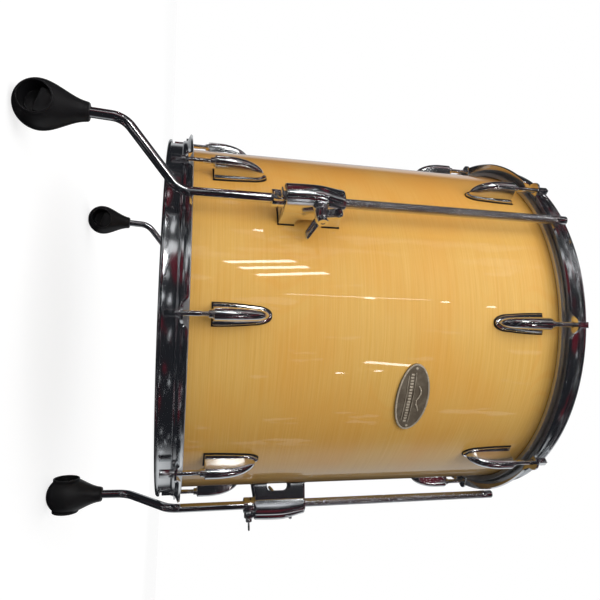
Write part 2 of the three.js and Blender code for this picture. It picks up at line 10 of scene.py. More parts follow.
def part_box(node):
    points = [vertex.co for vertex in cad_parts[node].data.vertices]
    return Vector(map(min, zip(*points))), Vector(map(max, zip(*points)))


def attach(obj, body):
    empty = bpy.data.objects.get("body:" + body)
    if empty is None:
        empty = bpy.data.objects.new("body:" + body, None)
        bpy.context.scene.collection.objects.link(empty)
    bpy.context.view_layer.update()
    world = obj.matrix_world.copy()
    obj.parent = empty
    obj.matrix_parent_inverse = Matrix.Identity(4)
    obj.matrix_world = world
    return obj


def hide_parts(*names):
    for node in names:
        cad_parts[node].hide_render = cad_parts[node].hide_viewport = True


bl_info = {
    "name": "Floor Tom",
    "version": (1, 0, 0),
    "blender": (4, 5, 0),
    "location": "View3D > Sidebar > Floor Tom",
    "description": "Builds a maple floor tom with three legs, and a stage to show it on",
    "category": "Add Mesh",
}

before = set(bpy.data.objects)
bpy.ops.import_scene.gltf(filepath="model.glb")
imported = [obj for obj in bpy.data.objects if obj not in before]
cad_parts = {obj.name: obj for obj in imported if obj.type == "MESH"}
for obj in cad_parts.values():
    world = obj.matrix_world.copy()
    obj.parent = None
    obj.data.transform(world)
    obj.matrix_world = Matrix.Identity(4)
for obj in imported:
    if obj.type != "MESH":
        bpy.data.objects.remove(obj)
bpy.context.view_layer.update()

MM = 0.001
TAU = math.tau
ENDS = {"batter": 1, "resonant": -1}
RODS = range(1, 9)
LEGS = range(1, 4)

shell_low, shell_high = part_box("shell")
MIDDLE = (shell_low + shell_high) / 2
SHELL_RADIUS = (shell_high.x - shell_low.x) / 2 / MM
EDGE = (shell_high.z - shell_low.z) / 2 / MM  # height of a bearing edge above the middle
SHELL_WALL = 7.5

# Places on the drum, in millimetres from its middle, and in degrees round it
ROD_CIRCLE = 217.6
LUG_OPEN_END = 168.0
LUG_LENGTH = 53.5
LUG_SEAT = 204.1
GASKET_SEAT = 203.3
BADGE_ANGLE = -67.5
BADGE_HEIGHT = 33.0
VENT_ANGLE = 22.5
LEG_ANGLES = (-119.5, -15.5, 112.5)
KNEE_TURNS = (-60.5, 105.5, 67.5)
CLAMP_TURNS = (28, 0, 0)
LEG_CIRCLE = 225.9
LEG_RADIUS = 4.75
BRACKET_TOP = -46.0
BRACKET_END = -104.5
BRACKET_FOOT = -107.0
SKIRT_SLANT = 2.5
ARCH_MIDDLE = -77.0
ARCH_HALF_LENGTH = 14.0
ARCH_HEIGHT = 7.5
ARCH_CORNER = 5.4
PAD_PAST_ARCH = 0.2
WING_HEIGHT = -69.0
CLAMP_TOP = -104.8
CLAMP_HEIGHT = 12.2
SCREW_HEIGHT = CLAMP_TOP - CLAMP_HEIGHT / 2
LEG_TOP = 202.0
KNEE = -201.0
ANKLE = (62.5, -252.0)
LEG_LEAN = math.radians(3)
FOOT_DROP = 29.0
FOOT_LENGTH = 63.3


def place(angle=0.0, end="batter"):
    """From millimetres on the drum, X outwards at an angle round it, to metres in the row frame."""
    flip = Matrix.Rotation(math.pi, 4, "X") if end == "resonant" else Matrix.Identity(4)
    return Matrix.Translation(MIDDLE) @ about_z(angle) @ flip @ Matrix.Scale(MM, 4)


def leg_place(number, turned=False):
    """From millimetres on a leg rod's axis to metres in the row frame."""
    knee = math.radians(KNEE_TURNS[number - 1]) if turned else 0.0
    axis = Matrix.Translation((LEG_CIRCLE, 0, 0)) @ Matrix.Rotation(knee, 4, "Z")
    return place(LEG_ANGLES[number - 1]) @ axis


def about_z(degrees):
    return Matrix.Rotation(math.radians(degrees), 4, "Z")


def rod_angle(number):
    """Where a tension rod and its lug stand round the drum, in degrees."""
    return 360 / len(RODS) * (number - 1)


def ease(value):
    value = min(max(value, 0.0), 1.0)
    return value * value * (3 - 2 * value)


# ---------- outlines ----------


def rounded(corners, steps=4):
    """A line through (x, y, radius) corners, each inner one rounded to its radius."""
    points = [Vector(corners[0][:2])]
    for before, corner, after in zip(corners, corners[1:], corners[2:]):
        spot = Vector(corner[:2])
        back = (Vector(before[:2]) - spot).normalized()
        ahead = (Vector(after[:2]) - spot).normalized()
        half = back.angle(ahead) / 2
        if corner[2] <= 0 or half > math.radians(89.5):
            points.append(spot)
            continue
        centre = spot + (back + ahead).normalized() * corner[2] / math.sin(half)
        start = spot + back * corner[2] / math.tan(half) - centre
        finish = spot + ahead * corner[2] / math.tan(half) - centre
        sweep = start.angle(finish)
        for i in range(steps + 1):
            near = math.sin((1 - i / steps) * sweep) / math.sin(sweep)
            far = math.sin(i / steps * sweep) / math.sin(sweep)
            points.append(centre + start * near + finish * far)
    points.append(Vector(corners[-1][:2]))
    return points


def banded(path, thickness):
    """The closed outline of a sheet of that thickness whose middle follows the path."""
    left, right = [], []
    for i, point in enumerate(path):
        before = (point - path[i - 1]).normalized() if i else None
        after = (path[i + 1] - point).normalized() if i + 1 < len(path) else None
        way = ((before or after) + (after or before)).normalized()
        side = Vector((-way.y, way.x)) * thickness / 2
        stretch = 1 / max(way.dot(before or after), 0.5)
        left.append(point + side * stretch)
        right.append(point - side * stretch)
    return left + right[::-1]


# ---------- solids ----------


def tidy(bm):
    bmesh.ops.remove_doubles(bm, verts=bm.verts, dist=1e-4)
    bmesh.ops.dissolve_degenerate(bm, dist=1e-5, edges=bm.edges)
    bmesh.ops.recalc_face_normals(bm, faces=bm.faces)
    return bm


def turned(points, steps=48, index_name=None):
    """A closed (radius, height) outline turned round Z. On-axis ends stay open there."""
    bm = bmesh.new()
    index = bm.verts.layers.int.new(index_name) if index_name else None
    verts = []
    for number, (radius, height) in enumerate(points):
        vert = bm.verts.new((radius, 0, height))
        if index:
            vert[index] = number
        verts.append(vert)
    pairs = list(zip(verts, verts[1:]))
    if points[0][0] > 1e-6 or points[-1][0] > 1e-6:
        pairs.append((verts[-1], verts[0]))
    edges = [bm.edges.new(pair) for pair in pairs]
    bmesh.ops.spin(
        bm, geom=verts + edges, cent=(0, 0, 0), axis=(0, 0, 1), angle=TAU,
        steps=steps, use_merge=True,
    )
    return tidy(bm)


def lofted(sections):
    """A solid through rings of points, each ring with as many points as the first."""
    bm = bmesh.new()
    index = bm.verts.layers.int.new("ring")
    ring = [bm.verts.new(point) for point in sections[0]]
    for number, vert in enumerate(ring):
        vert[index] = number
    edges = [bm.edges.new(pair) for pair in zip(ring, ring[1:] + ring[:1])]
    bmesh.ops.edgeloop_fill(bm, edges=edges)
    for section in sections[1:]:
        grown = bmesh.ops.extrude_edge_only(bm, edges=edges)["geom"]
        verts = {item for item in grown if isinstance(item, bmesh.types.BMVert)}
        edges = [
            item for item in grown
            if isinstance(item, bmesh.types.BMEdge) and set(item.verts) <= verts
        ]
        for vert in verts:
            vert.co = section[vert[index]]
    bmesh.ops.edgeloop_fill(bm, edges=edges)
    bm.verts.layers.int.remove(bm.verts.layers.int["ring"])
    return tidy(bm)


def block(low, high, bevel=0.0, segments=2):
    bm = bmesh.new()
    bmesh.ops.create_cube(bm, size=1)
    low, high = Vector(low), Vector(high)
    bmesh.ops.scale(bm, vec=high - low, verts=bm.verts)
    bmesh.ops.translate(bm, vec=(high + low) / 2, verts=bm.verts)
    if bevel:
        bmesh.ops.bevel(
            bm, geom=bm.edges[:], offset=bevel, offset_type="OFFSET", affect="EDGES",
            segments=segments, profile=0.5, material=-1,
        )
    return bm


def pin(radius, low, high, edge=0.3, steps=32):
    """A cylinder along Z with rounded rims."""
    return turned(
        rounded([(0, low, 0), (radius, low, edge), (radius, high, edge), (0, high, 0)], 3),
        steps,
    )


def along_x(bm):
    bm.transform(Matrix.Rotation(math.pi / 2, 4, "Y"))
    return bm


def along_y(bm):
    bm.transform(Matrix.Rotation(-math.pi / 2, 4, "X"))
    return bm


def moved(bm, *steps):
    for step in steps:
        bm.transform(step if isinstance(step, Matrix) else Matrix.Translation(step))
    return bm


def gathered(solids):
    """Separate solids in one mesh."""
    whole = bmesh.new()
    for solid in solids:
        held = bpy.data.meshes.new("held")
        solid.to_mesh(held)
        solid.free()
        whole.from_mesh(held)
        bpy.data.meshes.remove(held)
    return whole


def combined(first, *others, operation="DIFFERENCE"):
    """The first solid with the others cut from it or joined to it."""
    holders = []
    for solid in (first, *others):
        mesh = bpy.data.meshes.new("held")
        solid.to_mesh(mesh)
        solid.free()
        holder = bpy.data.objects.new("held", mesh)
        bpy.context.scene.collection.objects.link(holder)
        holders.append(holder)
    for tool in holders[1:]:
        step = holders[0].modifiers.new("step", "BOOLEAN")
        step.object = tool
        step.operation = operation
        step.solver = "MANIFOLD"
    bpy.context.view_layer.update()
    whole = bmesh.new()
    whole.from_object(holders[0], bpy.context.evaluated_depsgraph_get())
    for holder in holders:
        bpy.data.meshes.remove(holder.data)
    return whole


def hugging(bm):
    """Bends a piece drawn flat on the shell so that it follows the shell's round."""
    for vert in bm.verts:
        vert.co.x -= SHELL_RADIUS - math.sqrt(SHELL_RADIUS**2 - vert.co.y**2)
    return bm


def add_piece(name, bm, where, looks, body, stands_for=(), sharp=32.0):
    """Puts a finished piece in the frame. Its own millimetres stay with it for its finish."""
    own = bm.verts.layers.float_vector.new("own_place")
    for vert in bm.verts:
        vert[own] = vert.co
    bm.transform(where)
    mesh = bpy.data.meshes.new(name)
    bm.to_mesh(mesh)
    bm.free()
    mesh.shade_smooth()
    mesh.set_sharp_from_angle(angle=math.radians(sharp))
    for look in looks:
        mesh.materials.append(look)
    piece = bpy.data.objects.new(name, mesh)
    bpy.context.scene.collection.objects.link(piece)
    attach(piece, body)
    if stands_for:
        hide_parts(*stands_for)
    return piece


# ---------- finishes ----------


class Wire:
    """A node's output. Arithmetic on it adds Math nodes."""

    def __init__(self, net, socket):
        self.net, self.socket = net, socket

    def math(self, operation, *values):
        return self.net.node(
            "ShaderNodeMath", {"operation": operation}, dict(enumerate(values))
        )

    def __add__(self, other):
        return self.math("ADD", self, other)

    __radd__ = __add__

    def __sub__(self, other):
        return self.math("SUBTRACT", self, other)

    def __rsub__(self, other):
        return self.math("SUBTRACT", other, self)

    def __mul__(self, other):
        return self.math("MULTIPLY", self, other)

    __rmul__ = __mul__

    def __pow__(self, other):
        return self.math("POWER", self, other)

    def sine(self):
        return self.math("SINE", self)

    def size(self):
        return self.math("ABSOLUTE", self)


class Net:
    """The nodes of one finish."""

    def __init__(self, tree):
        self.tree = tree
        tree.nodes.clear()

    def node(self, kind, settings=None, sockets=None, out=0):
        made = self.tree.nodes.new(kind)
        for name, value in (settings or {}).items():
            setattr(made, name, value)
        for name, value in (sockets or {}).items():
            if isinstance(value, Wire):
                self.tree.links.new(value.socket, made.inputs[name])
            else:
                made.inputs[name].default_value = value
        return Wire(self, made.outputs[out]) if made.outputs else None

    def own_place(self):
        return self.node("ShaderNodeAttribute", {"attribute_name": "own_place"}, out="Vector")

    def apart(self, vector):
        """The three numbers of a vector."""
        x = self.node("ShaderNodeSeparateXYZ", None, {0: vector})
        return [Wire(self, socket) for socket in x.socket.node.outputs]

    def noise(self, scale, detail=3.0, roughness=0.55, seed=0.0):
        """Noise on the piece's own millimetres, its grain drawn out by the scale on each axis."""
        spot = self.node(
            "ShaderNodeMapping", {"vector_type": "POINT"},
            {"Vector": self.own_place(), "Location": (seed, seed * 0.7, -seed), "Scale": scale},
        )
        return self.node(
            "ShaderNodeTexNoise", {"noise_dimensions": "3D"},
            {"Vector": spot, "Scale": 1.0, "Detail": detail, "Roughness": roughness},
        )

    def spread(self, value, low, high, to_low=0.0, to_high=1.0):
        return self.node(
            "ShaderNodeMapRange", {"interpolation_type": "SMOOTHSTEP"},
            {"Value": value, "From Min": low, "From Max": high, "To Min": to_low,
             "To Max": to_high},
        )

    def mix(self, factor, first, second):
        first, second = (c if isinstance(c, Wire) else (*c[:3], 1) for c in (first, second))
        return self.node(
            "ShaderNodeMix", {"data_type": "RGBA"},
            {0: factor, 6: first, 7: second}, out=2,
        )

    def bump(self, height, strength, depth):
        return self.node(
            "ShaderNodeBump", None,
            {"Height": height, "Strength": strength, "Distance": depth * MM},
        )

    def surface(self, **sockets):
        """The shader itself, joined to the output."""
        named = {name.replace("_", " "): value for name, value in sockets.items()}
        shader = self.node("ShaderNodeBsdfPrincipled", None, named)
        self.node("ShaderNodeOutputMaterial", None, {"Surface": shader})


def look(build):
    """A finish, made the first time it is asked for."""
    name = build.__name__
    found = bpy.data.materials.get(name)
    if found:
        return found
    made = bpy.data.materials.new(name)
    made.use_nodes = True
    build(Net(made.node_tree), bpy.context.scene.tom_colours)
    return made


def wood_tone(net, colours):
    """Rolled maple veneer: fine streaks round the drum, and the nested arches of flat-cut grain; also
    painted shade, a deeper amber tone on the drum's -X side.
    """
    streaks = net.noise((0.011, 0.011, 0.75), detail=5, roughness=0.62)
    threads = net.noise((0.02, 0.02, 2.6), detail=3, seed=31)
    field = net.noise((0.0052, 0.0052, 0.0105), detail=1.2, roughness=0.35, seed=9)
    rings = net.spread((field * 110).sine(), 0.2, 1.0)
    where = net.spread(net.noise((0.004, 0.004, 0.008), detail=1, seed=53), 0.45, 0.65)
    pores = net.spread(net.noise((0.05, 0.05, 3.2), detail=2, seed=77), 0.64, 0.78)
    clouds = net.noise((0.007, 0.007, 0.012), detail=2, seed=21)
    x, _, _ = net.apart(net.own_place())
    # Painted shade: towards the drum's -X side the maple is mixed towards amber, a deeper, darker tone
    # painted on that one side.
    painted_side_shade = net.spread(x, -60, -205)
    tone = net.mix(net.spread(streaks, 0.32, 0.7) * 0.45, colours.honey, colours.honey_light)
    tone = net.mix(net.spread(threads, 0.42, 0.72) * 0.16, tone, colours.grain)
    tone = net.mix(rings * where * 0.16, tone, colours.amber)
    tone = net.mix(net.spread(clouds, 0.4, 0.7) * 0.3 + painted_side_shade * 0.5, tone, colours.amber)
    tone = net.mix(pores * 0.12, tone, colours.grain)
    return tone, streaks, pores


def maple_lacquer(net, colours):
    tone, streaks, pores = wood_tone(net, colours)
    peel = net.noise((0.09, 0.09, 0.09), detail=2, seed=5)
    relief = net.bump(peel + streaks * 0.15 - pores * 0.1, 0.12, 0.25)
    net.surface(
        Base_Color=tone, Roughness=net.spread(streaks, 0.3, 0.7, 0.3, 0.42),
        Normal=relief, Coat_Weight=1.0, Coat_Roughness=0.02, Coat_IOR=1.5,
        Specular_IOR_Level=0.2,
    )


def maple_inside(net, colours):
    tone, streaks, pores = wood_tone(net, colours)
    pale = net.mix(0.35, tone, (0.75, 0.62, 0.42))
    net.surface(
        Base_Color=pale, Roughness=net.spread(streaks, 0.3, 0.7, 0.45, 0.62),
        Normal=net.bump(streaks - pores * 0.6, 0.3, 0.12),
    )


def chrome(net, colours):
    smudge = net.noise((0.05, 0.05, 0.05), detail=4, seed=3)
    fine = net.noise((0.6, 0.6, 0.6), detail=2, seed=15)
    worn = net.spread(smudge, 0.52, 0.72)
    tone = net.mix(worn * 0.25, colours.chrome, (0.6, 0.6, 0.6))
    net.surface(
        Base_Color=tone, Metallic=1.0, Roughness=0.02 + worn * 0.05 + fine * 0.01,
        Normal=net.bump(smudge * 0.8 + fine * 0.05, 0.03, 0.2),
    )


def leg_chrome(net, colours):
    """Chromed rod whose upper length is knurled so that the wing bolt grips it."""
    x, y, z = net.apart(net.own_place())
    turn = y.math("ARCTAN2", y, x)
    cross = (turn * 22 + z * 4.2).sine() * (turn * 22 - z * 4.2).sine()
    held = net.spread(z, -105, -103) * (1 - net.spread(z, 186, 188))
    ridges = net.spread(cross, -0.35, 0.35) * held
    smudge = net.noise((0.06, 0.06, 0.03), detail=4, seed=3)
    # Painted shade: over the knurled length the chrome is mixed towards dark grey in the valleys between
    # the ridges, shade painted into the knurl's recesses.
    tone = net.mix(held * (1 - ridges) * 0.45, colours.chrome, (0.25, 0.25, 0.26))
    net.surface(
        Base_Color=tone, Metallic=1.0,
        Roughness=0.05 + held * 0.16 + net.spread(smudge, 0.5, 0.75) * 0.06,
        Normal=net.bump(ridges + smudge * 0.05, 0.5, 0.25),
    )


def coated_film(net, colours):
    grit = net.noise((1.3, 1.3, 1.3), detail=3, seed=2)
    cloud = net.noise((0.012, 0.012, 0.012), detail=3, seed=8)
    x, y, _ = net.apart(net.own_place())
    radius = (x * x + y * y) ** 0.5
    played = 1 - net.spread(radius, 10, 130)
    worn = net.spread(cloud, 0.35, 0.7) * 0.2 + played * 0.25
    tone = net.mix(worn, colours.film, (0.5, 0.49, 0.46))
    net.surface(
        Base_Color=tone, Roughness=net.spread(grit, 0.3, 0.7, 0.6, 0.75) - played * 0.12,
        Normal=net.bump(grit, 0.35, 0.06),
    )


def clear_film(net, colours):
    cloud = net.noise((0.02, 0.02, 0.02), detail=3, seed=4)
    net.surface(
        Base_Color=net.mix(cloud, (0.82, 0.85, 0.86), (0.9, 0.92, 0.92)),
        Roughness=net.spread(cloud, 0.3, 0.7, 0.05, 0.14),
        Alpha=net.spread(cloud, 0.2, 0.8, 0.2, 0.3), Specular_IOR_Level=0.7,
        Normal=net.bump(cloud, 0.05, 0.4),
    )


def aluminium(net, colours):
    lines = net.noise((0.02, 0.02, 2.5), detail=3, seed=6)
    net.surface(
        Base_Color=net.mix(lines, (0.5, 0.51, 0.52), (0.7, 0.71, 0.72)), Metallic=1.0,
        Roughness=net.spread(lines, 0.3, 0.7, 0.28, 0.42), Normal=net.bump(lines, 0.15, 0.05),
    )


def antique_bronze(net, colours):
    x, y, _ = net.apart(net.own_place())
    height = (x * x + y * y) ** 0.5 - (GASKET_SEAT + 0.2)
    raised = net.spread(height, 1.25, 1.75)
    stain = net.noise((0.12, 0.12, 0.12), detail=4, seed=11)
    brushed = net.noise((0.9, 0.9, 0.05), detail=2, seed=19)
    bright = raised * 0.8 + net.spread(stain, 0.4, 0.7) * 0.15
    tone = net.mix(bright, colours.badge, (0.62, 0.54, 0.42))
    net.surface(
        Base_Color=tone, Metallic=0.35,
        Roughness=0.42 - raised * 0.2 + net.spread(stain, 0.4, 0.7) * 0.15,
        Normal=net.bump(brushed * 0.4 + stain * 0.4, 0.2, 0.12),
    )


def foot_rubber(net, colours):
    grain = net.noise((0.9, 0.9, 0.9), detail=3, seed=1)
    scuff = net.noise((0.05, 0.05, 0.02), detail=5, seed=13)
    marks = net.spread(scuff, 0.55, 0.75)
    net.surface(
        Base_Color=net.mix(marks * 0.4, colours.rubber, (0.03, 0.03, 0.031)),
        Roughness=0.38 + marks * 0.16 + grain * 0.08, Normal=net.bump(grain, 0.2, 0.08),
        Specular_IOR_Level=0.5,
    )


def gasket_rubber(net, colours):
    grain = net.noise((1.2, 1.2, 1.2), detail=2, seed=1)
    net.surface(
        Base_Color=net.mix(grain, (0.006, 0.006, 0.006), (0.018, 0.018, 0.018)),
        Roughness=net.spread(grain, 0.3, 0.7, 0.5, 0.68), Normal=net.bump(grain, 0.3, 0.05),
    )


def zinc(net, colours):
    haze = net.noise((0.4, 0.4, 0.4), detail=3, seed=1)
    net.surface(
        Base_Color=net.mix(haze, (0.5, 0.5, 0.48), (0.72, 0.71, 0.68)), Metallic=1.0,
        Roughness=net.spread(haze, 0.3, 0.7, 0.25, 0.42), Normal=net.bump(haze, 0.15, 0.05),
    )


def pale_floor(net, colours):
    net.surface(
        Base_Color=(*colours.floor, 1), Roughness=0.85, Specular_IOR_Level=0.1,
        Emission_Color=(1, 1, 1, 1), Emission_Strength=0.78,
    )


# ---------- the drum's own settings ----------


class TomSizes(bpy.types.PropertyGroup):
    """Sizes that a drum maker would change."""

    hoop_sheet: bpy.props.FloatProperty(
        name="Hoop sheet", description="Thickness of the hoop steel, in millimetres",
        default=2.3, min=1.6, max=3.2,
    )
    lug_height: bpy.props.FloatProperty(
        name="Lug height", description="How far a lug stands off the shell, in millimetres",
        default=21.0, min=18.0, max=23.0,
    )
    key_square: bpy.props.FloatProperty(
        name="Key square", description="Side of the tension rod's head, in millimetres",
        default=6.2, min=5.5, max=6.5,
    )
    wing_turn: bpy.props.FloatProperty(
        name="Wing bolt turn", description="How far the wing bolts are turned at rest",
        default=math.radians(-35), subtype="ANGLE", unit="ROTATION",
    )


def colour_of(name, description, default):
    return bpy.props.FloatVectorProperty(
        name=name, description=description, default=default, size=3, min=0.0, max=1.0,
        subtype="COLOR",
    )


class TomColours(bpy.types.PropertyGroup):
    """Colours of the finishes."""

    honey: colour_of("Honey", "Main tone of the lacquered maple", (0.68, 0.39, 0.088))
    honey_light: colour_of("Light honey", "Pale streaks in the maple", (0.78, 0.51, 0.17))
    # Amber also paints a deeper shade on the shell's -X side.
    amber: colour_of("Amber", "Warm clouds in the maple", (0.7, 0.28, 0.028))
    grain: colour_of("Grain", "Dark grain lines", (0.36, 0.17, 0.04))
    chrome: colour_of("Chrome", "Plated steel", (0.8, 0.805, 0.815))
    film: colour_of("Film", "Coated drum head", (0.7, 0.69, 0.66))
    badge: colour_of("Badge", "Low parts of the badge", (0.15, 0.12, 0.085))
    rubber: colour_of("Rubber", "Moulded feet", (0.0075, 0.0075, 0.0085))
    floor: colour_of("Floor", "Studio floor", (0.3, 0.3, 0.3))


class Builder:
    """What every operator of the drum shares."""

    bl_options = {"REGISTER", "UNDO"}

    def execute(self, context):
        self.build(context.scene.tom_sizes)
        return {"FINISHED"}


# ---------- shell ----------


class TOM_OT_shell(Builder, bpy.types.Operator):
    """Build the maple shell with its rounded bearing edges and air vent"""

    bl_idname = "tom.shell"
    bl_label = "Shell"

    def build(self, sizes):
        inner = SHELL_RADIUS - SHELL_WALL
        crest = SHELL_RADIUS - 2.0
        slope = EDGE - (crest - inner)
        half = [
            (inner, 0, 0), (inner, slope, 1.5), (crest, EDGE, 0.8),
            (SHELL_RADIUS, EDGE - 2.0, 1.6), (SHELL_RADIUS, 0, 0),
        ]
        upper = rounded(half, 4)
        rows = [0.25, 0.5, 0.75, 0.95]
        outline = [Vector((inner, slope * t)) for t in [0, *rows]] + upper[1:-1]
        outline += [Vector((SHELL_RADIUS, slope * t)) for t in reversed(rows)]
        lower = [Vector((p.x, -p.y)) for p in reversed(outline[1:])]
        bm = turned(outline + [Vector((SHELL_RADIUS, 0))] + lower, 288)
        bore = along_x(pin(5.8, inner - 4, SHELL_RADIUS + 4, 0.0, 40))
        bm = combined(bm, moved(bore, about_z(VENT_ANGLE)))
        for face in bm.faces:
            spread = [vert.co.xy.length for vert in face.verts]
            outside = min(spread) > SHELL_RADIUS - 0.9
            face.material_index = 0 if outside else 1
        looks = (look(maple_lacquer), look(maple_inside))
        add_piece("maple_shell", bm, place(), looks, "drum", ("shell",), sharp=40)

        rim = rounded(
            [(4.5, inner - 0.8, 0), (4.5, SHELL_RADIUS + 1.9, 0.6), (8.5, SHELL_RADIUS + 1.5, 0.7),
             (8.5, SHELL_RADIUS + 0.25, 0), (5.4, SHELL_RADIUS + 0.25, 0), (5.4, inner - 0.2, 0),
             (7.2, inner - 0.2, 0.4), (7.2, inner - 0.9, 0)], 4,
        )
        add_piece(
            "vent_eyelet", along_x(turned(rim, 40)), place(VENT_ANGLE), (look(chrome),),
            "drum", ("vent_grommet",),
        )


# ---------- heads, flesh hoops and counter hoops ----------

HOOP_STEPS = 720
EAR_MIDDLE = 195.5
EAR_REACH = 226.2
EAR_TIP = 8.6
EAR_HALF_WIDTH = 7.0
EAR_BLEND = 8.0
FLARE_REACH = 219.6


def head_film(coated):
    """The film, its collar round the bearing edge, and its tuck over the flesh hoop."""
    rise = 0.0 if coated else 0.02
    corners = [
        (0, EDGE + 0.5 + rise, 0), (SHELL_RADIUS - 14, EDGE + 0.5, 0),
        (203.7, EDGE + 0.5, 2.4), (203.7, 197.5, 0.7), (208.9, 197.5, 0),
    ]
    return banded(rounded(corners, 8), 0.4)


def hoop_path(last):
    """Middle of the hoop steel, from the curled lip down to the flare's or the ear's edge."""
    corners = [
        (211.5, 212.7, 0), (211.5, 215.0, 1.6), (207.25, 215.05, 1.9), (207.25, 199.15, 1.3),
        (210.95, 199.15, 1.3), (210.95, last[0].y, 1.3), (last[1].x, last[1].y, 0),
    ]
    path = rounded(corners, 4)
    start, finish = path[-2], path[-1]
    return path[:-1] + [start.lerp(finish, i / 4) for i in range(1, 5)]


def hoop_solid(sheet):
    """A pressed hoop: its flare rises to a flat ear at every tension rod."""
    flare = banded(hoop_path((Vector((0, 194.9)), Vector((219.5, 190.8)))), sheet)
    flat = banded(hoop_path((Vector((0, EAR_MIDDLE)), Vector((EAR_REACH, EAR_MIDDLE)))), sheet)
    root = flat[len(flat) // 2 - 5].x
    bm = turned(flare, HOOP_STEPS, "outline")
    index = bm.verts.layers.int["outline"]
    step = TAU / len(RODS)
    for vert in bm.verts:
        angle = math.atan2(vert.co.y, vert.co.x)
        off = abs((angle + step / 2) % step - step / 2) * ROD_CIRCLE
        blend = 1 - ease((off - EAR_HALF_WIDTH) / EAR_BLEND)
        if not blend:
            continue
        at, ear = flare[vert[index]], flat[vert[index]]
        tip = math.sqrt(max(EAR_TIP**2 - off**2, 0.0))
        reach = max(FLARE_REACH, ROD_CIRCLE + tip)
        share = min(max((ear.x - root) / (EAR_REACH - root), 0.0), 1.0)
        ear_radius = ear.x + (reach - EAR_REACH) * share
        radius = at.x + (ear_radius - at.x) * blend
        vert.co = (radius * math.cos(angle), radius * math.sin(angle), at.y + (ear.y - at.y) * blend)
    bm.verts.layers.int.remove(index)
    bmesh.ops.recalc_face_normals(bm, faces=bm.faces)
    holes = []
    for number in RODS:
        hole = moved(pin(3.2, EAR_MIDDLE - 5, EAR_MIDDLE + 3, 0.0, 20), (ROD_CIRCLE, 0, 0))
        holes.append(moved(hole, Matrix.Rotation(step * number, 4, "Z")))
    return combined(bm, gathered(holes))


class TOM_OT_heads(Builder, bpy.types.Operator):
    """Build both drum heads, each on its metal flesh hoop"""

    bl_idname = "tom.heads"
    bl_label = "Heads"

    def build(self, sizes):
        films = {"batter": (coated_film, "coated_film"), "resonant": (clear_film, "clear_film")}
        channel = rounded(
            [(204.4, 188.6, 0), (209.2, 188.6, 0.8), (209.2, 197.0, 1.2), (204.4, 197.0, 1.2),
             (204.4, 194.0, 0), (205.2, 194.0, 0), (205.2, 189.6, 0.3), (204.4, 189.6, 0)], 4,
        )
        for end, (film, slot) in films.items():
            add_piece(
                f"{end}_film", turned(head_film(end == "batter"), 192), place(0, end),
                (look(film),), "drum", (f"{end}_head",), sharp=50,
            )
            add_piece(
                f"{end}_head_ring", turned(channel, 192), place(0, end), (look(aluminium),),
                "drum", (f"{end}_flesh_hoop",),
            )


class TOM_OT_hoops(Builder, bpy.types.Operator):
    """Build the two triple-flanged hoops"""

    bl_idname = "tom.hoops"
    bl_label = "Hoops"

    def build(self, sizes):
        for end in ENDS:
            add_piece(
                f"{end}_counter_hoop", hoop_solid(sizes.hoop_sheet), place(0, end),
                (look(chrome),), "drum", (f"{end}_hoop",), sharp=38,
            )


# ---------- lugs ----------

LUG_STRAIGHT = 36.0


def lug_widths(u):
    """Half widths of the base flange and of the body, along a lug."""
    base_tip, body_tip = LUG_LENGTH - LUG_STRAIGHT, LUG_LENGTH - 3.0 - LUG_STRAIGHT
    base = 10.0 - 2.0 * (min(u, LUG_STRAIGHT) / LUG_STRAIGHT) ** 2
    body = 6.35 - 1.0 * (min(u, LUG_STRAIGHT) / LUG_STRAIGHT) ** 2
    past = max(u - LUG_STRAIGHT, 0.0)
    base *= math.sqrt(max(1 - (past / base_tip) ** 2, 0.0))
    body *= math.sqrt(max(1 - (past / body_tip) ** 2, 0.0))
    return base, body


def lug_section(u, height_scale, shrink=0.0):
    base, body = lug_widths(u)
    fall = min(max(u - 12.0, 0.0) / (LUG_LENGTH - 14.5), 1.0)
    top = LUG_SEAT + 3.0 + (height_scale - 3.9) * (1 - fall**2.1) ** 0.55
    base, body = max(base - shrink, 0.02), max(body - shrink, 0.012)
    top -= shrink
    shoulder = max(top - body, LUG_SEAT + 2.3)
    half = [
        (LUG_SEAT, 0.0), (LUG_SEAT, base * 0.96), (LUG_SEAT + 0.3, base),
        (LUG_SEAT + 1.3, base), (LUG_SEAT + 1.75, base * 0.965),
        (LUG_SEAT + 2.0, body + (base - body) * 0.55), (LUG_SEAT + 2.15, body + (base - body) * 0.22),
        (LUG_SEAT + 2.5, body * 1.06), (LUG_SEAT + 0.5 * (2.5 + shoulder - LUG_SEAT), body * 1.0),
    ]
    for i in range(7):
        angle = math.pi / 2 * i / 6
        half.append((shoulder + (top - shoulder) * math.sin(angle), body * math.cos(angle)))
    z = LUG_OPEN_END - u
    ring = [Vector((x, y, z)) for x, y in half]
    ring += [Vector((x, -y, z)) for x, y in reversed(half[1:-1])]
    return ring


def lug_casting(height):
    """The bullet-shaped lug, squared at its open end and rounded at the other."""
    stations = [0.5 * (1 - math.cos(math.pi * i / 14)) for i in range(15)]
    tail = [LUG_STRAIGHT + (LUG_LENGTH - LUG_STRAIGHT - 0.02) * math.sin(math.pi / 2 * i / 12)
            for i in range(1, 13)]
    body = [0.8 + (LUG_STRAIGHT - 0.8) * s for s in stations]
    sections = [lug_section(0.0, height, 0.7), lug_section(0.0, height, 0.45)]
    sections[1] = [p - Vector((0, 0, 0.12)) for p in sections[1]]
    ring = [p - Vector((0, 0, 0.4)) for p in lug_section(0.0, height, 0.15)]
    sections += [ring] + [lug_section(u, height) for u in body + tail]
    return lofted(sections)


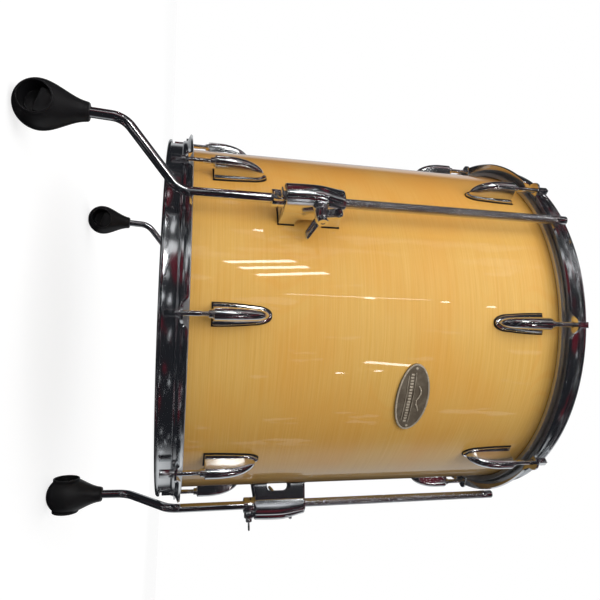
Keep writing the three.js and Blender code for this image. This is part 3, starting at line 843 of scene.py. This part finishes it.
def lug_gasket():
    """The black pad under a lug, a little wider than its base."""
    grow = 1.3
    rim = []
    steps = [0.0, 6.0, 12.0, 18.0, 24.0, 30.0, 34.0]
    nose = LUG_LENGTH - LUG_STRAIGHT
    steps += [LUG_STRAIGHT + nose * math.sin(math.pi / 2 * i / 10) for i in range(11)]
    for u in steps:
        rim.append((lug_widths(u)[0] + grow, LUG_OPEN_END + (grow if u == 0 else 0) - u * 1.012))
    outline = rim + [(-y, z) for y, z in reversed(rim)]
    layers = [(GASKET_SEAT, 1.0), (LUG_SEAT - 0.05, 1.0), (LUG_SEAT + 0.05, 0.985)]
    middle = LUG_OPEN_END - LUG_LENGTH / 2
    return hugging(lofted([
        [Vector((x, y * k, middle + (z - middle) * k)) for y, z in outline] for x, k in layers
    ]))


def swivel_nut():
    """The nut that turns in the lug's open end, with the bore that the rod enters."""
    end = LUG_OPEN_END + 4.4
    outline = rounded(
        [(2.95, LUG_OPEN_END - 3, 0), (2.95, end, 0.3), (4.0, end, 0.5),
         (4.0, LUG_OPEN_END + 1.2, 0), (4.7, LUG_OPEN_END + 0.9, 0.3), (4.7, LUG_OPEN_END - 0.4, 0),
         (3.9, LUG_OPEN_END - 0.4, 0), (3.9, LUG_OPEN_END - 3, 0)], 3,
    )
    return moved(turned(outline, 32), (ROD_CIRCLE, 0, 0))


class TOM_OT_lugs(Builder, bpy.types.Operator):
    """Build the lugs with their gaskets, swivel nuts and inside screws"""

    bl_idname = "tom.lugs"
    bl_label = "Lugs"

    def build(self, sizes):
        for end, side in ENDS.items():
            gaskets, nuts = [], []
            for number in RODS:
                angle = rod_angle(number)
                add_piece(
                    f"{end}_lug_casting_{number}", lug_casting(sizes.lug_height),
                    place(angle, end), (look(chrome),), "drum",
                    (f"{end}_lug_{number}",), sharp=30,
                )
                turn = about_z(angle)
                gaskets.append(moved(lug_gasket(), turn))
                nuts.append(moved(swivel_nut(), turn))
            add_piece(f"{end}_lug_gaskets", gathered(gaskets), place(0, end),
                      (look(gasket_rubber),), "drum")
            add_piece(f"{end}_swivel_nuts", gathered(nuts), place(0, end),
                      (look(chrome),), "drum")
        screws = []
        inner = SHELL_RADIUS - SHELL_WALL
        for number in RODS:
            turn = about_z(rod_angle(number))
            for height in (LUG_OPEN_END - 14, LUG_OPEN_END - 38):
                for side in (1, -1):
                    outline = rounded(
                        [(0, -5.2, 0), (3.2, -5.0, 1.4), (4.2, -2.0, 0.4), (4.2, -1.4, 0),
                         (7.0, -1.3, 0.3), (7.0, 0.1, 0), (0, 0.1, 0)], 2,
                    )
                    screw = along_x(turned(outline, 20))
                    screws.append(moved(screw, (inner, 0, side * height), turn))
        add_piece("lug_screws", gathered(screws), place(), (look(zinc),), "drum")


# ---------- tension rods ----------


class TOM_OT_tension_rods(Builder, bpy.types.Operator):
    """Build the tension rods with their washers and square key heads"""

    bl_idname = "tom.tension_rods"
    bl_label = "Tension rods"

    def build(self, sizes):
        for end in ENDS:
            for number in RODS:
                bm = self.rod(sizes.key_square / 2)
                where = place(rod_angle(number), end) @ Matrix.Translation((ROD_CIRCLE, 0, 0))
                name = f"{end}_tension_rod_{number}"
                add_piece(f"{end}_rod_{number}", bm, where, (look(chrome),), name,
                          (name,), sharp=35)

    @staticmethod
    def rod(half):
        thread = []
        for i in range(18):
            z = 163.0 + 0.9 * i
            thread += [(2.3, z, 0), (2.68, z + 0.45, 0)]
        outline = [(0, 142.2, 0), (2.2, 142.2, 0), (2.5, 143.0, 0), (2.5, 162.5, 0), *thread,
                   (2.4, 179.6, 0), (2.68, 180.4, 0.2), (2.68, 197.05, 0),
                   (4.9, 197.05, 0.2), (4.9, 198.4, 0.5), (4.1, 198.8, 0), (4.1, 199.6, 0.4),
                   (3.4, 201.9, 1.0), (half * 0.9, 202.2, 0), (0, 202.2, 0)]
        spindle = turned(rounded(outline, 3), 28)
        square = block((-half, -half, 199.2), (half, half, 210.9), 0.55, 3)
        return combined(spindle, square, operation="UNION")


# ---------- badge ----------


def badge_ring(reach, height, count=96):
    """An oval ring inside the badge's edge by some reach, bent round the shell."""
    wide, painted_side_shade = 37.25 - reach, 17.5 - reach
    ring = []
    for i in range(count):
        angle = TAU * i / count
        ring.append(on_badge(wide * math.cos(angle), painted_side_shade * math.sin(angle), height))
    return ring


def on_badge(across, up, height):
    radius = SHELL_RADIUS + 0.3 + height
    turn = across / SHELL_RADIUS
    return Vector((radius * math.cos(turn), radius * math.sin(turn), BADGE_HEIGHT + up))


def badge_block(across, up, width, depth, tilt=0.0, rise=0.55):
    """A small raised mark on the badge's face."""
    rings = []
    for grow, height in ((1.0, 0.95), (1.0, 1.2 + rise * 0.6), (0.78, 1.2 + rise)):
        ring = []
        for sx, sy in (
            (-1, -1), (-0.35, -1), (0.35, -1), (1, -1), (1, 1), (0.35, 1), (-0.35, 1), (-1, 1),
        ):
            x, y = sx * width / 2 * grow, sy * depth / 2 * grow
            turned_x = x * math.cos(tilt) - y * math.sin(tilt)
            turned_y = x * math.sin(tilt) + y * math.cos(tilt)
            ring.append(on_badge(across + turned_x, up + turned_y, height))
        rings.append(ring)
    return lofted(rings)


class TOM_OT_badge(Builder, bpy.types.Operator):
    """Build the oval badge with a plain raised pattern"""

    bl_idname = "tom.badge"
    bl_label = "Badge"

    def build(self, sizes):
        steps = [(0.35, 0.0), (0.0, 0.25), (0.0, 1.3), (0.35, 1.75), (1.3, 1.85), (1.9, 1.6),
                 (2.3, 1.2), (3.4, 1.15), (5.5, 1.15), (8.0, 1.15), (11.0, 1.15), (14.0, 1.15),
                 (16.6, 1.15)]
        plate = lofted([badge_ring(reach, height) for reach, height in steps])
        marks = [badge_block(-26.0 + 3.25 * i, -3.6, 2.1, 3.4) for i in range(17)]
        marks += [badge_block(0, -7.4, 50, 0.7), badge_block(0, 0.3, 56, 0.7)]
        marks += [badge_block(-12 + 4.0 * i, 6.2 + 1.6 * math.sin(i * 1.2), 4.6, 1.3,
                              math.radians(35 * math.cos(i * 1.2))) for i in range(7)]
        for side in (-1, 1):
            stud = turned(rounded([(0, 0.9, 0), (1.5, 0.9, 0), (1.5, 1.9, 0.7), (0, 2.1, 0)], 3), 20)
            stud = moved(along_x(stud), (SHELL_RADIUS + 0.1, 0, BADGE_HEIGHT))
            turn = Matrix.Rotation(side * 32.2 / SHELL_RADIUS, 4, "Z")
            marks.append(moved(stud, turn))
        add_piece(
            "oval_badge", gathered([plate, *marks]), place(BADGE_ANGLE),
            (look(antique_bronze),), "drum", ("badge",), sharp=30,
        )


# ---------- leg brackets ----------

BRACKET_SEAT = 203.95
BRACKET_WAIST = 226.0
BRACKET_FACE = 242.95
SKIRT_EDGE = LEG_CIRCLE - 9.2  # the skirt slants from here in to the shell
BRACKET_HALVES = (
    (BRACKET_SEAT, 12.0), (204.4, 12.0), (207.0, 11.8), (211.0, 11.4), (216.0, 10.9), (220.6, 10.4),
    (221.2, 11.9), (226.0, 12.0), (230.0, 11.9), (234.0, 11.5), (236.6, 10.9), (237.6, 9.2),
    (240.4, 7.8), (242.2, 5.6), (242.85, 3.4), (BRACKET_FACE, 1.4),
)


def bracket_section(z, inset=0.0, slant=0.0):
    """The bracket's outline across the leg rod at one height."""
    fall = 6.0 * ease((z + 78) / 36) ** 1.2 if z > -78 else 1.0 * ((-78 - z) / 26.5) ** 2
    stretch = (BRACKET_FACE - fall - BRACKET_WAIST) / (BRACKET_FACE - BRACKET_WAIST)
    half = []
    for x, y in BRACKET_HALVES:
        if x > BRACKET_WAIST:
            x = BRACKET_WAIST + (x - BRACKET_WAIST) * stretch
        half.append((x, y))
    middle_x = 223.0
    ring = []
    for x, y in half + [(x, -y) for x, y in reversed(half)]:
        reach = math.hypot(x - middle_x, y)
        pull = 1 - inset / reach
        drop = 0.0
        if slant and x < SKIRT_EDGE:
            drop = slant * (SKIRT_EDGE - x) / (SKIRT_EDGE - 204)
        spot_x = middle_x + (x - middle_x) * pull
        ring.append(Vector((max(spot_x, BRACKET_SEAT), y * pull, z - drop)))
    return ring


def bracket_casting():
    levels = [BRACKET_END + 3 + 4.0 * i for i in range(14)]
    sections = [
        bracket_section(BRACKET_END + up, inset, SKIRT_SLANT)
        for up, inset in ((0, 1.1), (0.25, 0.45), (0.9, 0.0))
    ]
    sections += [bracket_section(z, 0.0, 0.0) for z in levels if z < BRACKET_TOP - 1.5]
    sections += [bracket_section(BRACKET_TOP - 1.1), bracket_section(BRACKET_TOP - 0.35, 0.4),
                 bracket_section(BRACKET_TOP, 1.3)]
    body = lofted(sections)
    seat = moved(along_y(pin(8.7, 8.0, 12.15, 0.5, 40)), (LEG_CIRCLE, 0, WING_HEIGHT))
    body = combined(body, seat, operation="UNION")
    bore = pin(LEG_RADIUS + 0.5, BRACKET_FOOT - 5, BRACKET_TOP + 5, 0.0, 48)
    bore = moved(bore, (LEG_CIRCLE, 0, 0))
    bolt = moved(along_y(pin(4.3, 0, 16, 0.0, 32)), (LEG_CIRCLE, 0, WING_HEIGHT))
    arch = block(
        (-ARCH_HEIGHT, -20, -ARCH_HALF_LENGTH), (ARCH_HEIGHT, 20, ARCH_HALF_LENGTH), ARCH_CORNER, 8
    )
    arch = moved(arch, (203.9, 0, ARCH_MIDDLE))
    return combined(body, bore, bolt, arch)


def bracket_pads():
    """The black pads under the bracket's two feet."""
    pads = []
    reach = ARCH_HALF_LENGTH + PAD_PAST_ARCH
    for low, high in (
        (BRACKET_FOOT + 0.1, ARCH_MIDDLE - reach), (ARCH_MIDDLE + reach, BRACKET_TOP + 0.5),
    ):
        pad = block((GASKET_SEAT, -12.9, low - 0.9), (203.98, 12.9, high))
        cuts = [edge for edge in pad.edges if abs(edge.verts[0].co.y - edge.verts[1].co.y) > 5]
        bmesh.ops.subdivide_edges(pad, edges=cuts, cuts=8, use_grid_fill=True)
        pads.append(hugging(pad))
    return gathered(pads)


def rod_sleeve():
    """The dark sleeve that shows round the leg rod where it leaves the bracket."""
    top = BRACKET_TOP + 0.9
    outline = rounded(
        [(LEG_RADIUS + 0.15, BRACKET_TOP - 4, 0), (LEG_RADIUS + 0.15, top, 0.2),
         (7.0, top, 0.5), (7.0, BRACKET_TOP - 0.05, 0), (LEG_RADIUS + 0.45, BRACKET_TOP - 0.05, 0),
         (LEG_RADIUS + 0.45, BRACKET_TOP - 4, 0)], 3,
    )
    return moved(turned(outline, 40), (LEG_CIRCLE, 0, 0))


class TOM_OT_brackets(Builder, bpy.types.Operator):
    """Build the three leg brackets on their pads"""

    bl_idname = "tom.brackets"
    bl_label = "Leg brackets"

    def build(self, sizes):
        for number in LEGS:
            where = place(LEG_ANGLES[number - 1])
            add_piece(f"bracket_casting_{number}", bracket_casting(), where, (look(chrome),),
                      "drum", (f"leg_bracket_{number}",), sharp=28)
            add_piece(f"bracket_pads_{number}", bracket_pads(), where, (look(gasket_rubber),),
                      "drum")
            add_piece(f"rod_sleeve_{number}", rod_sleeve(), where, (look(gasket_rubber),),
                      "drum")


# ---------- wing bolts, stop clamps and their screws ----------


def paddle(stations, points=20):
    """A wing along X through (reach, from, to, thickness) stations, rounded across."""
    sections = []
    for reach, start, end, thick in stations:
        ring = []
        for i in range(points):
            angle = TAU * i / points
            c, s = math.cos(angle), math.sin(angle)
            v = (start + end) / 2 + (end - start) / 2 * math.copysign(abs(c) ** 0.7, c)
            t = thick / 2 * math.copysign(abs(s) ** 0.75, s)
            ring.append(Vector((reach, v, t)))
        sections.append(ring)
    return lofted(sections)


def wing_bolt(turn):
    """The bolt that presses on the leg rod: thread, hub and two flared wings."""
    face = 12.3
    outline = rounded(
        [(0, LEG_RADIUS + 0.35, 0), (4.0, LEG_RADIUS + 0.35, 0.6), (4.0, face, 0),
         (6.6, face, 0.3), (7.5, face + 1.6, 0.8), (7.2, face + 10.5, 2.0), (5.4, face + 14.0, 1.4),
         (2.2, face + 14.0, 0.3), (1.8, face + 13.4, 0), (0, face + 13.4, 0)], 4,
    )
    hub = along_y(turned(outline, 48))
    stations = [
        (4.5, face + 2.4, face + 13.0, 5.4), (8.0, face + 3.0, face + 14.6, 5.0),
        (12.0, face + 5.0, face + 16.8, 4.4), (16.0, face + 7.1, face + 19.0, 4.0),
        (19.5, face + 9.0, face + 20.8, 3.7), (22.0, face + 10.4, face + 20.8, 3.2),
        (23.0, face + 11.8, face + 19.8, 2.6), (23.45, face + 13.6, face + 17.8, 1.5),
    ]
    wings = [paddle(stations), moved(paddle(stations), Matrix.Rotation(math.pi, 4, "Y"))]
    bolt = combined(hub, *wings, operation="UNION")
    return moved(bolt, Matrix.Rotation(turn, 4, "Y"))


def stop_clamp():
    """The split ring under the bracket, with the boss that its screw enters."""
    bottom = CLAMP_TOP - CLAMP_HEIGHT
    ring = pin(8.6, bottom, CLAMP_TOP, 0.9, 48)
    boss = block((4, -4.5, bottom + 1.0), (14.5, 4.5, CLAMP_TOP - 1.0), 1.3, 3)
    body = combined(ring, boss, operation="UNION")
    bore = pin(LEG_RADIUS + 0.3, bottom - 2, CLAMP_TOP + 2, 0.0, 48)
    tapped = moved(along_x(pin(2.8, 0, 16, 0.0, 24)), (0, 0, SCREW_HEIGHT))
    groove = turned([Vector(p) for p in (
        (8.25, SCREW_HEIGHT - 0.35), (9.2, SCREW_HEIGHT - 0.6), (9.2, SCREW_HEIGHT + 0.6),
        (8.25, SCREW_HEIGHT + 0.35))], 48)
    keep = block((8.4, -6, bottom - 1), (16, 6, CLAMP_TOP + 1))
    groove = combined(groove, keep)
    return combined(body, bore, tapped, groove)


def stop_screw():
    """The thumb screw of a stop clamp."""
    seat = 14.8
    outline = rounded(
        [(0, LEG_RADIUS + 0.7, 0), (2.5, LEG_RADIUS + 0.7, 0.3), (2.5, seat, 0), (3.5, seat, 0.3),
         (3.5, seat + 3.4, 0.8), (2.4, seat + 4.0, 0.3), (0, seat + 4.0, 0)], 3,
    )
    head = along_x(turned(outline, 32))
    stations = [
        (seat + 2.5, -2.6, 2.6, 2.0), (seat + 4.5, -3.0, 3.0, 2.0), (seat + 7.0, -4.0, 4.0, 1.8),
        (seat + 10.0, -4.5, 4.5, 1.7), (seat + 12.0, -4.1, 4.1, 1.5), (seat + 12.9, -3.0, 3.0, 1.0),
    ]
    return combined(head, paddle(stations), operation="UNION")


class TOM_OT_clamps(Builder, bpy.types.Operator):
    """Build the wing bolts, the stop clamps and the clamps' thumb screws"""

    bl_idname = "tom.clamps"
    bl_label = "Bolts and clamps"

    def build(self, sizes):
        for number in LEGS:
            where = leg_place(number)
            add_piece(
                f"wing_screw_{number}", wing_bolt(sizes.wing_turn),
                where @ Matrix.Translation((0, 0, WING_HEIGHT)), (look(chrome),),
                f"wing_bolt_{number}", (f"wing_bolt_{number}",), sharp=35,
            )
            where = where @ about_z(CLAMP_TURNS[number - 1])
            add_piece(f"leg_stop_{number}", stop_clamp(), where, (look(chrome),),
                      f"stop_clamp_{number}", (f"stop_clamp_{number}",), sharp=30)
            add_piece(
                f"thumb_screw_{number}", stop_screw(),
                where @ Matrix.Translation((0, 0, SCREW_HEIGHT)), (look(chrome),),
                f"stop_screw_{number}", (f"stop_screw_{number}",), sharp=35,
            )


# ---------- legs and feet ----------

END_WAY = Vector((math.sin(LEG_LEAN), -math.cos(LEG_LEAN)))
NECK = Vector(ANKLE) + END_WAY * FOOT_DROP


def leg_rod():
    """A round rod with two bends, a chamfered top and a turned groove that marks a height."""
    radius = LEG_RADIUS
    socket_end = NECK + END_WAY * 33.5
    path = rounded(
        [(0, LEG_TOP, 0), (0, KNEE, 24.0), (*ANKLE, 24.0), (*socket_end, 0)], 12,
    )
    stops = [(path[0], radius - 1.0), (path[0] - Vector((0, 0.25)), radius - 0.5),
             (path[0] - Vector((0, 1.0)), radius)]
    for z, r in ((186.6, radius), (186.1, radius - 0.25), (57.4, radius), (57.0, radius - 0.5),
                 (55.6, radius - 0.5), (55.2, radius), (-60, radius)):
        stops.append((Vector((0, z)), r))
    stops += [(point, radius) for point in path[1:-1]]
    stops += [(path[-1] - END_WAY * 0.8, radius), (path[-1], radius - 0.8)]
    sections = []
    for i, (point, r) in enumerate(stops):
        before = point - stops[i - 1][0] if i else stops[1][0] - point
        after = stops[i + 1][0] - point if i + 1 < len(stops) else before
        way = (before.normalized() + after.normalized()).normalized()
        side = Vector((-way.y, 0, way.x))
        ring = []
        for k in range(32):
            angle = TAU * k / 32
            spot = Vector((point.x, 0, point.y)) + side * (r * math.cos(angle))
            ring.append(spot + Vector((0, r * math.sin(angle), 0)))
        sections.append(ring)
    return lofted(sections)


def foot_solid():
    """A pear-shaped foot with a round pocket in each side, where its socket shows."""
    bulb = 22.0
    centre = -(FOOT_LENGTH - bulb)
    outline = [Vector((0, 0.3)), Vector((6.0, 0.3)), Vector((7.6, 0.0)), Vector((8.4, -0.9))]
    for i in range(1, 15):
        t = i / 15
        outline.append(Vector((8.6 + (bulb - 8.6) * ease(t), centre * t)))
    for i in range(17):
        angle = math.pi / 2 * i / 16
        outline.append(Vector((bulb * math.cos(angle), centre - bulb * math.sin(angle))))
    outline[-1].x = 0.0
    pear = turned(outline, 96)
    for vert in pear.verts:
        flat = 20.0
        soft = 16.5
        y = abs(vert.co.y)
        if y > soft:
            eased = soft + (flat - soft) * math.tanh((y - soft) / (flat - soft))
            vert.co.y = math.copysign(eased, vert.co.y)
    cutters, rims = [], []
    for side in (1, -1):
        cutter = turned(rounded([(0, 4.0, 0), (11.6, 4.0, 1.2), (13.0, 17.6, 1.0), (14.2, 24.0, 0),
                                 (0, 24.0, 0)], 4), 56)
        turn = Matrix.Rotation(-math.pi / 2 * side, 4, "X")
        cutters.append(moved(cutter, turn, (0, 0, centre)))
        lip = turned(rounded(
            [(13.4, 17.2, 0), (13.4, 19.9, 0.5), (15.0, 19.7, 0.7), (15.0, 17.2, 0)], 4), 56)
        rims.append(moved(lip, turn, (0, 0, centre)))
    body = combined(pear, *cutters)
    sleeve = turned(rounded(
        [(0, -27, 0), (7.6, -27, 0), (7.6, centre + 2.6, 2.4), (0, centre + 2.0, 0)], 4), 40)
    socket = moved(block((-11, -15.5, 0), (11, 15.5, 13), 1.0, 2),
                   Matrix.Rotation(math.radians(-16), 4, "Y"), (0, 0, centre + 1.0))
    body = combined(body, sleeve, socket, *rims, operation="UNION")
    bore = pin(LEG_RADIUS + 0.2, -34.0, 3.0, 0.0, 40)
    body = combined(body, bore)
    lean = Matrix.Rotation(-LEG_LEAN, 4, "Y")
    body = moved(body, lean, (NECK.x, 0, NECK.y))
    floor = -(MIDDLE.z / MM)
    cut = bmesh.ops.bisect_plane(
        body, geom=body.verts[:] + body.edges[:] + body.faces[:], dist=1e-5,
        plane_co=(0, 0, floor + 0.02), plane_no=(0, 0, -1), clear_outer=True,
    )["geom_cut"]
    bmesh.ops.edgeloop_fill(body, edges=[e for e in cut if isinstance(e, bmesh.types.BMEdge)])
    return tidy(body)


class TOM_OT_legs(Builder, bpy.types.Operator):
    """Build the three bent legs and their moulded feet"""

    bl_idname = "tom.legs"
    bl_label = "Legs and feet"

    def build(self, sizes):
        for number in LEGS:
            where = leg_place(number, turned=True)
            add_piece(f"bent_leg_{number}", leg_rod(), where, (look(leg_chrome),),
                      f"leg_{number}", (f"leg_{number}",), sharp=40)
            add_piece(f"moulded_foot_{number}", foot_solid(), where, (look(foot_rubber),),
                      f"leg_{number}", (f"foot_{number}",), sharp=38)


# ---------- stage ----------


def soft_light(name, spot, size, power):
    """A large soft light that faces the drum and stays out of reflections."""
    lamp = bpy.data.lights.new(name, "AREA")
    lamp.shape = "SQUARE"
    lamp.size = size
    lamp.energy = power
    holder = bpy.data.objects.new(name, lamp)
    way = (MIDDLE - Vector(spot)).normalized()
    facing = way.to_track_quat("-Z", "Y").to_matrix().to_4x4()
    holder.matrix_world = Matrix.Translation(spot) @ facing
    holder.visible_glossy = False
    bpy.context.scene.collection.objects.link(holder)


# Bright windows of the room: two directions in degrees, a width, and how bright
GLINTS = (
    ((34.1, 4.4), (37.2, 11.7), 1.6, 16), ((30.7, 6.0), (33.6, 13.2), 1.6, 16),
    ((26.6, 7.8), (30.2, 15.2), 1.6, 16), ((15.2, 10.9), (15.0, 26.0), 0.35, 9),
    ((14.7, 19.2), (14.7, 20.4), 1.2, 18), ((14.0, 27.0), (14.0, 28.0), 1.0, 14),
    ((11.8, 31.5), (11.8, 32.5), 1.0, 14), ((-27.4, 19.4), (-29.7, 24.5), 1.4, 14),
    ((-35.0, 16.3), (-35.0, 17.3), 1.0, 14), ((-33.4, 20.3), (-33.4, 21.3), 1.0, 14),
    ((96.9, 2.6), (96.9, 4.6), 2.0, 12), ((57.5, 7.2), (57.5, 8.8), 1.5, 14),
)


def bearing(turn, rise):
    """A direction in the room, turned from -Y towards -X and then raised, in degrees."""
    turn, rise = math.radians(turn), math.radians(rise)
    flat = math.cos(rise)
    return Vector((-math.sin(turn) * flat, -math.cos(turn) * flat, math.sin(rise)))


class TOM_OT_stage(Builder, bpy.types.Operator):
    """Build the floor, the soft lights, the room that the chrome reflects, and the camera"""

    bl_idname = "tom.stage"
    bl_label = "Stage"

    def build(self, sizes):
        scene = bpy.context.scene
        scene.view_settings.view_transform = "Standard"
        bm = bmesh.new()
        bmesh.ops.create_circle(bm, cap_ends=True, segments=96, radius=6.0)
        mesh = bpy.data.meshes.new("studio_floor")
        bm.to_mesh(mesh)
        bm.free()
        mesh.materials.append(look(pale_floor))
        floor = bpy.data.objects.new("studio_floor", mesh)
        floor.visible_glossy = False
        floor.visible_diffuse = False
        scene.collection.objects.link(floor)

        soft_light("key", (-0.3, -1.15, 1.1), 1.0, 13)
        soft_light("back", (0.4, 2.2, 1.6), 1.8, 16)
        soft_light("over", (0.0, 0.0, 2.6), 2.0, 2)

        self.room(scene)
        self.camera(scene)

    @staticmethod
    def pane(net, way, first, last, wide):
        """A bright window in the room, between two directions, as wide as given in degrees."""
        one, two = bearing(*first), bearing(*last)
        across = one.cross(two).normalized()
        middle = (one + two).normalized()
        half = one.angle(two) / 2
        aside, ahead = (
            net.node("ShaderNodeVectorMath", {"operation": "DOT_PRODUCT"}, {0: way, 1: line}, out="Value")
            for line in (across, middle)
        )
        edge = math.radians(wide) / 2
        near = 1 - net.spread(aside.size(), edge * 0.7, edge * 1.2)
        return near * net.spread(ahead, math.cos(half * 1.05), math.cos(half * 0.93))

    def room(self, scene):
        """White behind the drum, soft light that is stronger from -X, and a room for the chrome.

        The room is dark with small windows in front of the drum, and has wide boxes behind it.
        """
        world = bpy.data.worlds.new("studio_room")
        world.use_nodes = True
        scene.world = world
        net = Net(world.node_tree)
        way = net.node("ShaderNodeTexCoord", None, None, out="Generated")
        x, y, z = net.apart(way)
        blotch = net.node("ShaderNodeTexNoise", None, {"Vector": way, "Scale": 2.3, "Detail": 3.0})
        small = net.node("ShaderNodeTexNoise", None, {"Vector": way, "Scale": 8.5, "Detail": 2.0})
        round_it = (x * -1.0).math("ARCTAN2", x * -1.0, y * -1.0)
        front = 1 - net.spread(y, -0.15, 0.25)
        maroon = net.spread(blotch, 0.55, 0.6) * front
        dark = net.mix(maroon, (0.012, 0.013, 0.016), (0.085, 0.009, 0.016))
        dark = net.mix(net.spread(small, 0.66, 0.68) * front, dark, (0.8, 0.82, 0.85))
        wide_box = net.spread((round_it * 2.6 + z * 0.6).sine(), 0.05, 0.45)
        wide_box = wide_box * net.spread(z, -0.55, 0.2)
        dark = net.mix(wide_box * (1 - front) * 0.75, dark, (0.78, 0.8, 0.82))
        strip = net.spread(round_it, 0.62, 0.68) * (1 - net.spread(round_it, 0.98, 1.04))
        dark = net.mix(strip * net.spread(small, 0.5, 0.56) * 0.7, dark, (0.9, 0.91, 0.93))
        sheen = net.spread(x * -0.55 + y * -0.5 + z * 0.35, 0.72, 0.98)
        dark = net.mix(sheen * 0.35, dark, (0.9, 0.9, 0.92))
        for first, last, wide, bright in GLINTS:
            dark = net.mix(self.pane(net, way, first, last, wide), dark, (bright, bright, bright))
        glow = net.node("ShaderNodeBackground", None, {"Color": dark, "Strength": 1.0})
        soft = net.spread(x, 1.0, -1.0, 0.16, 1.06)
        fill = net.node("ShaderNodeBackground", None, {"Color": (1, 1, 1, 1), "Strength": soft})
        white = net.node("ShaderNodeBackground", None, {"Color": (1, 1, 1, 1), "Strength": 1.0})
        rays = net.node("ShaderNodeLightPath").socket.node.outputs
        glossy, direct = Wire(net, rays["Is Glossy Ray"]), Wire(net, rays["Is Camera Ray"])
        seen = net.node("ShaderNodeMixShader", None, {0: glossy, 1: fill, 2: glow})
        seen = net.node("ShaderNodeMixShader", None, {0: direct, 1: seen, 2: white})
        net.node("ShaderNodeOutputWorld", None, {"Surface": seen})

    @staticmethod
    def camera(scene):
        """The drum's axis lies across the picture, seen from a little below its middle."""
        right = Vector((-0.02605, -0.21722, 0.97577)).normalized()
        ahead = Vector((-0.04886, 0.97522, 0.21579)).normalized()
        up = right.cross(ahead).normalized()
        ahead = up.cross(right).normalized()
        spot = MIDDLE + Vector((0.009055, -0.696208, -0.196918))
        eye = bpy.data.cameras.new("camera")
        eye.sensor_width = 36.0
        eye.lens = 32.4536
        eye.clip_start = 0.01
        holder = bpy.data.objects.new("camera", eye)
        basis = Matrix((right, up, -ahead)).transposed().to_4x4()
        holder.matrix_world = Matrix.Translation(spot) @ basis
        scene.collection.objects.link(holder)
        scene.camera = holder


OPERATORS = (
    TOM_OT_shell, TOM_OT_heads, TOM_OT_hoops, TOM_OT_lugs, TOM_OT_tension_rods, TOM_OT_badge,
    TOM_OT_brackets, TOM_OT_clamps, TOM_OT_legs, TOM_OT_stage,
)


class TOM_PT_panel(bpy.types.Panel):
    """The floor tom's operators and settings"""

    bl_idname = "TOM_PT_panel"
    bl_label = "Floor Tom"
    bl_space_type = "VIEW_3D"
    bl_region_type = "UI"
    bl_category = "Floor Tom"

    def draw(self, context):
        column = self.layout.column()
        for name in TomSizes.__annotations__:
            column.prop(context.scene.tom_sizes, name)
        for name in TomColours.__annotations__:
            column.prop(context.scene.tom_colours, name)
        for operator in OPERATORS:
            column.operator(operator.bl_idname)


CLASSES = (TomSizes, TomColours, *OPERATORS, TOM_PT_panel)


def register():
    for item in CLASSES:
        bpy.utils.register_class(item)
    bpy.types.Scene.tom_sizes = bpy.props.PointerProperty(type=TomSizes)
    bpy.types.Scene.tom_colours = bpy.props.PointerProperty(type=TomColours)


def unregister():
    del bpy.types.Scene.tom_colours
    del bpy.types.Scene.tom_sizes
    for item in reversed(CLASSES):
        bpy.utils.unregister_class(item)


def main():
    register()
    for operator in OPERATORS:
        group, name = operator.bl_idname.split(".")
        getattr(getattr(bpy.ops, group), name)()


if __name__ == "__main__":
    main()
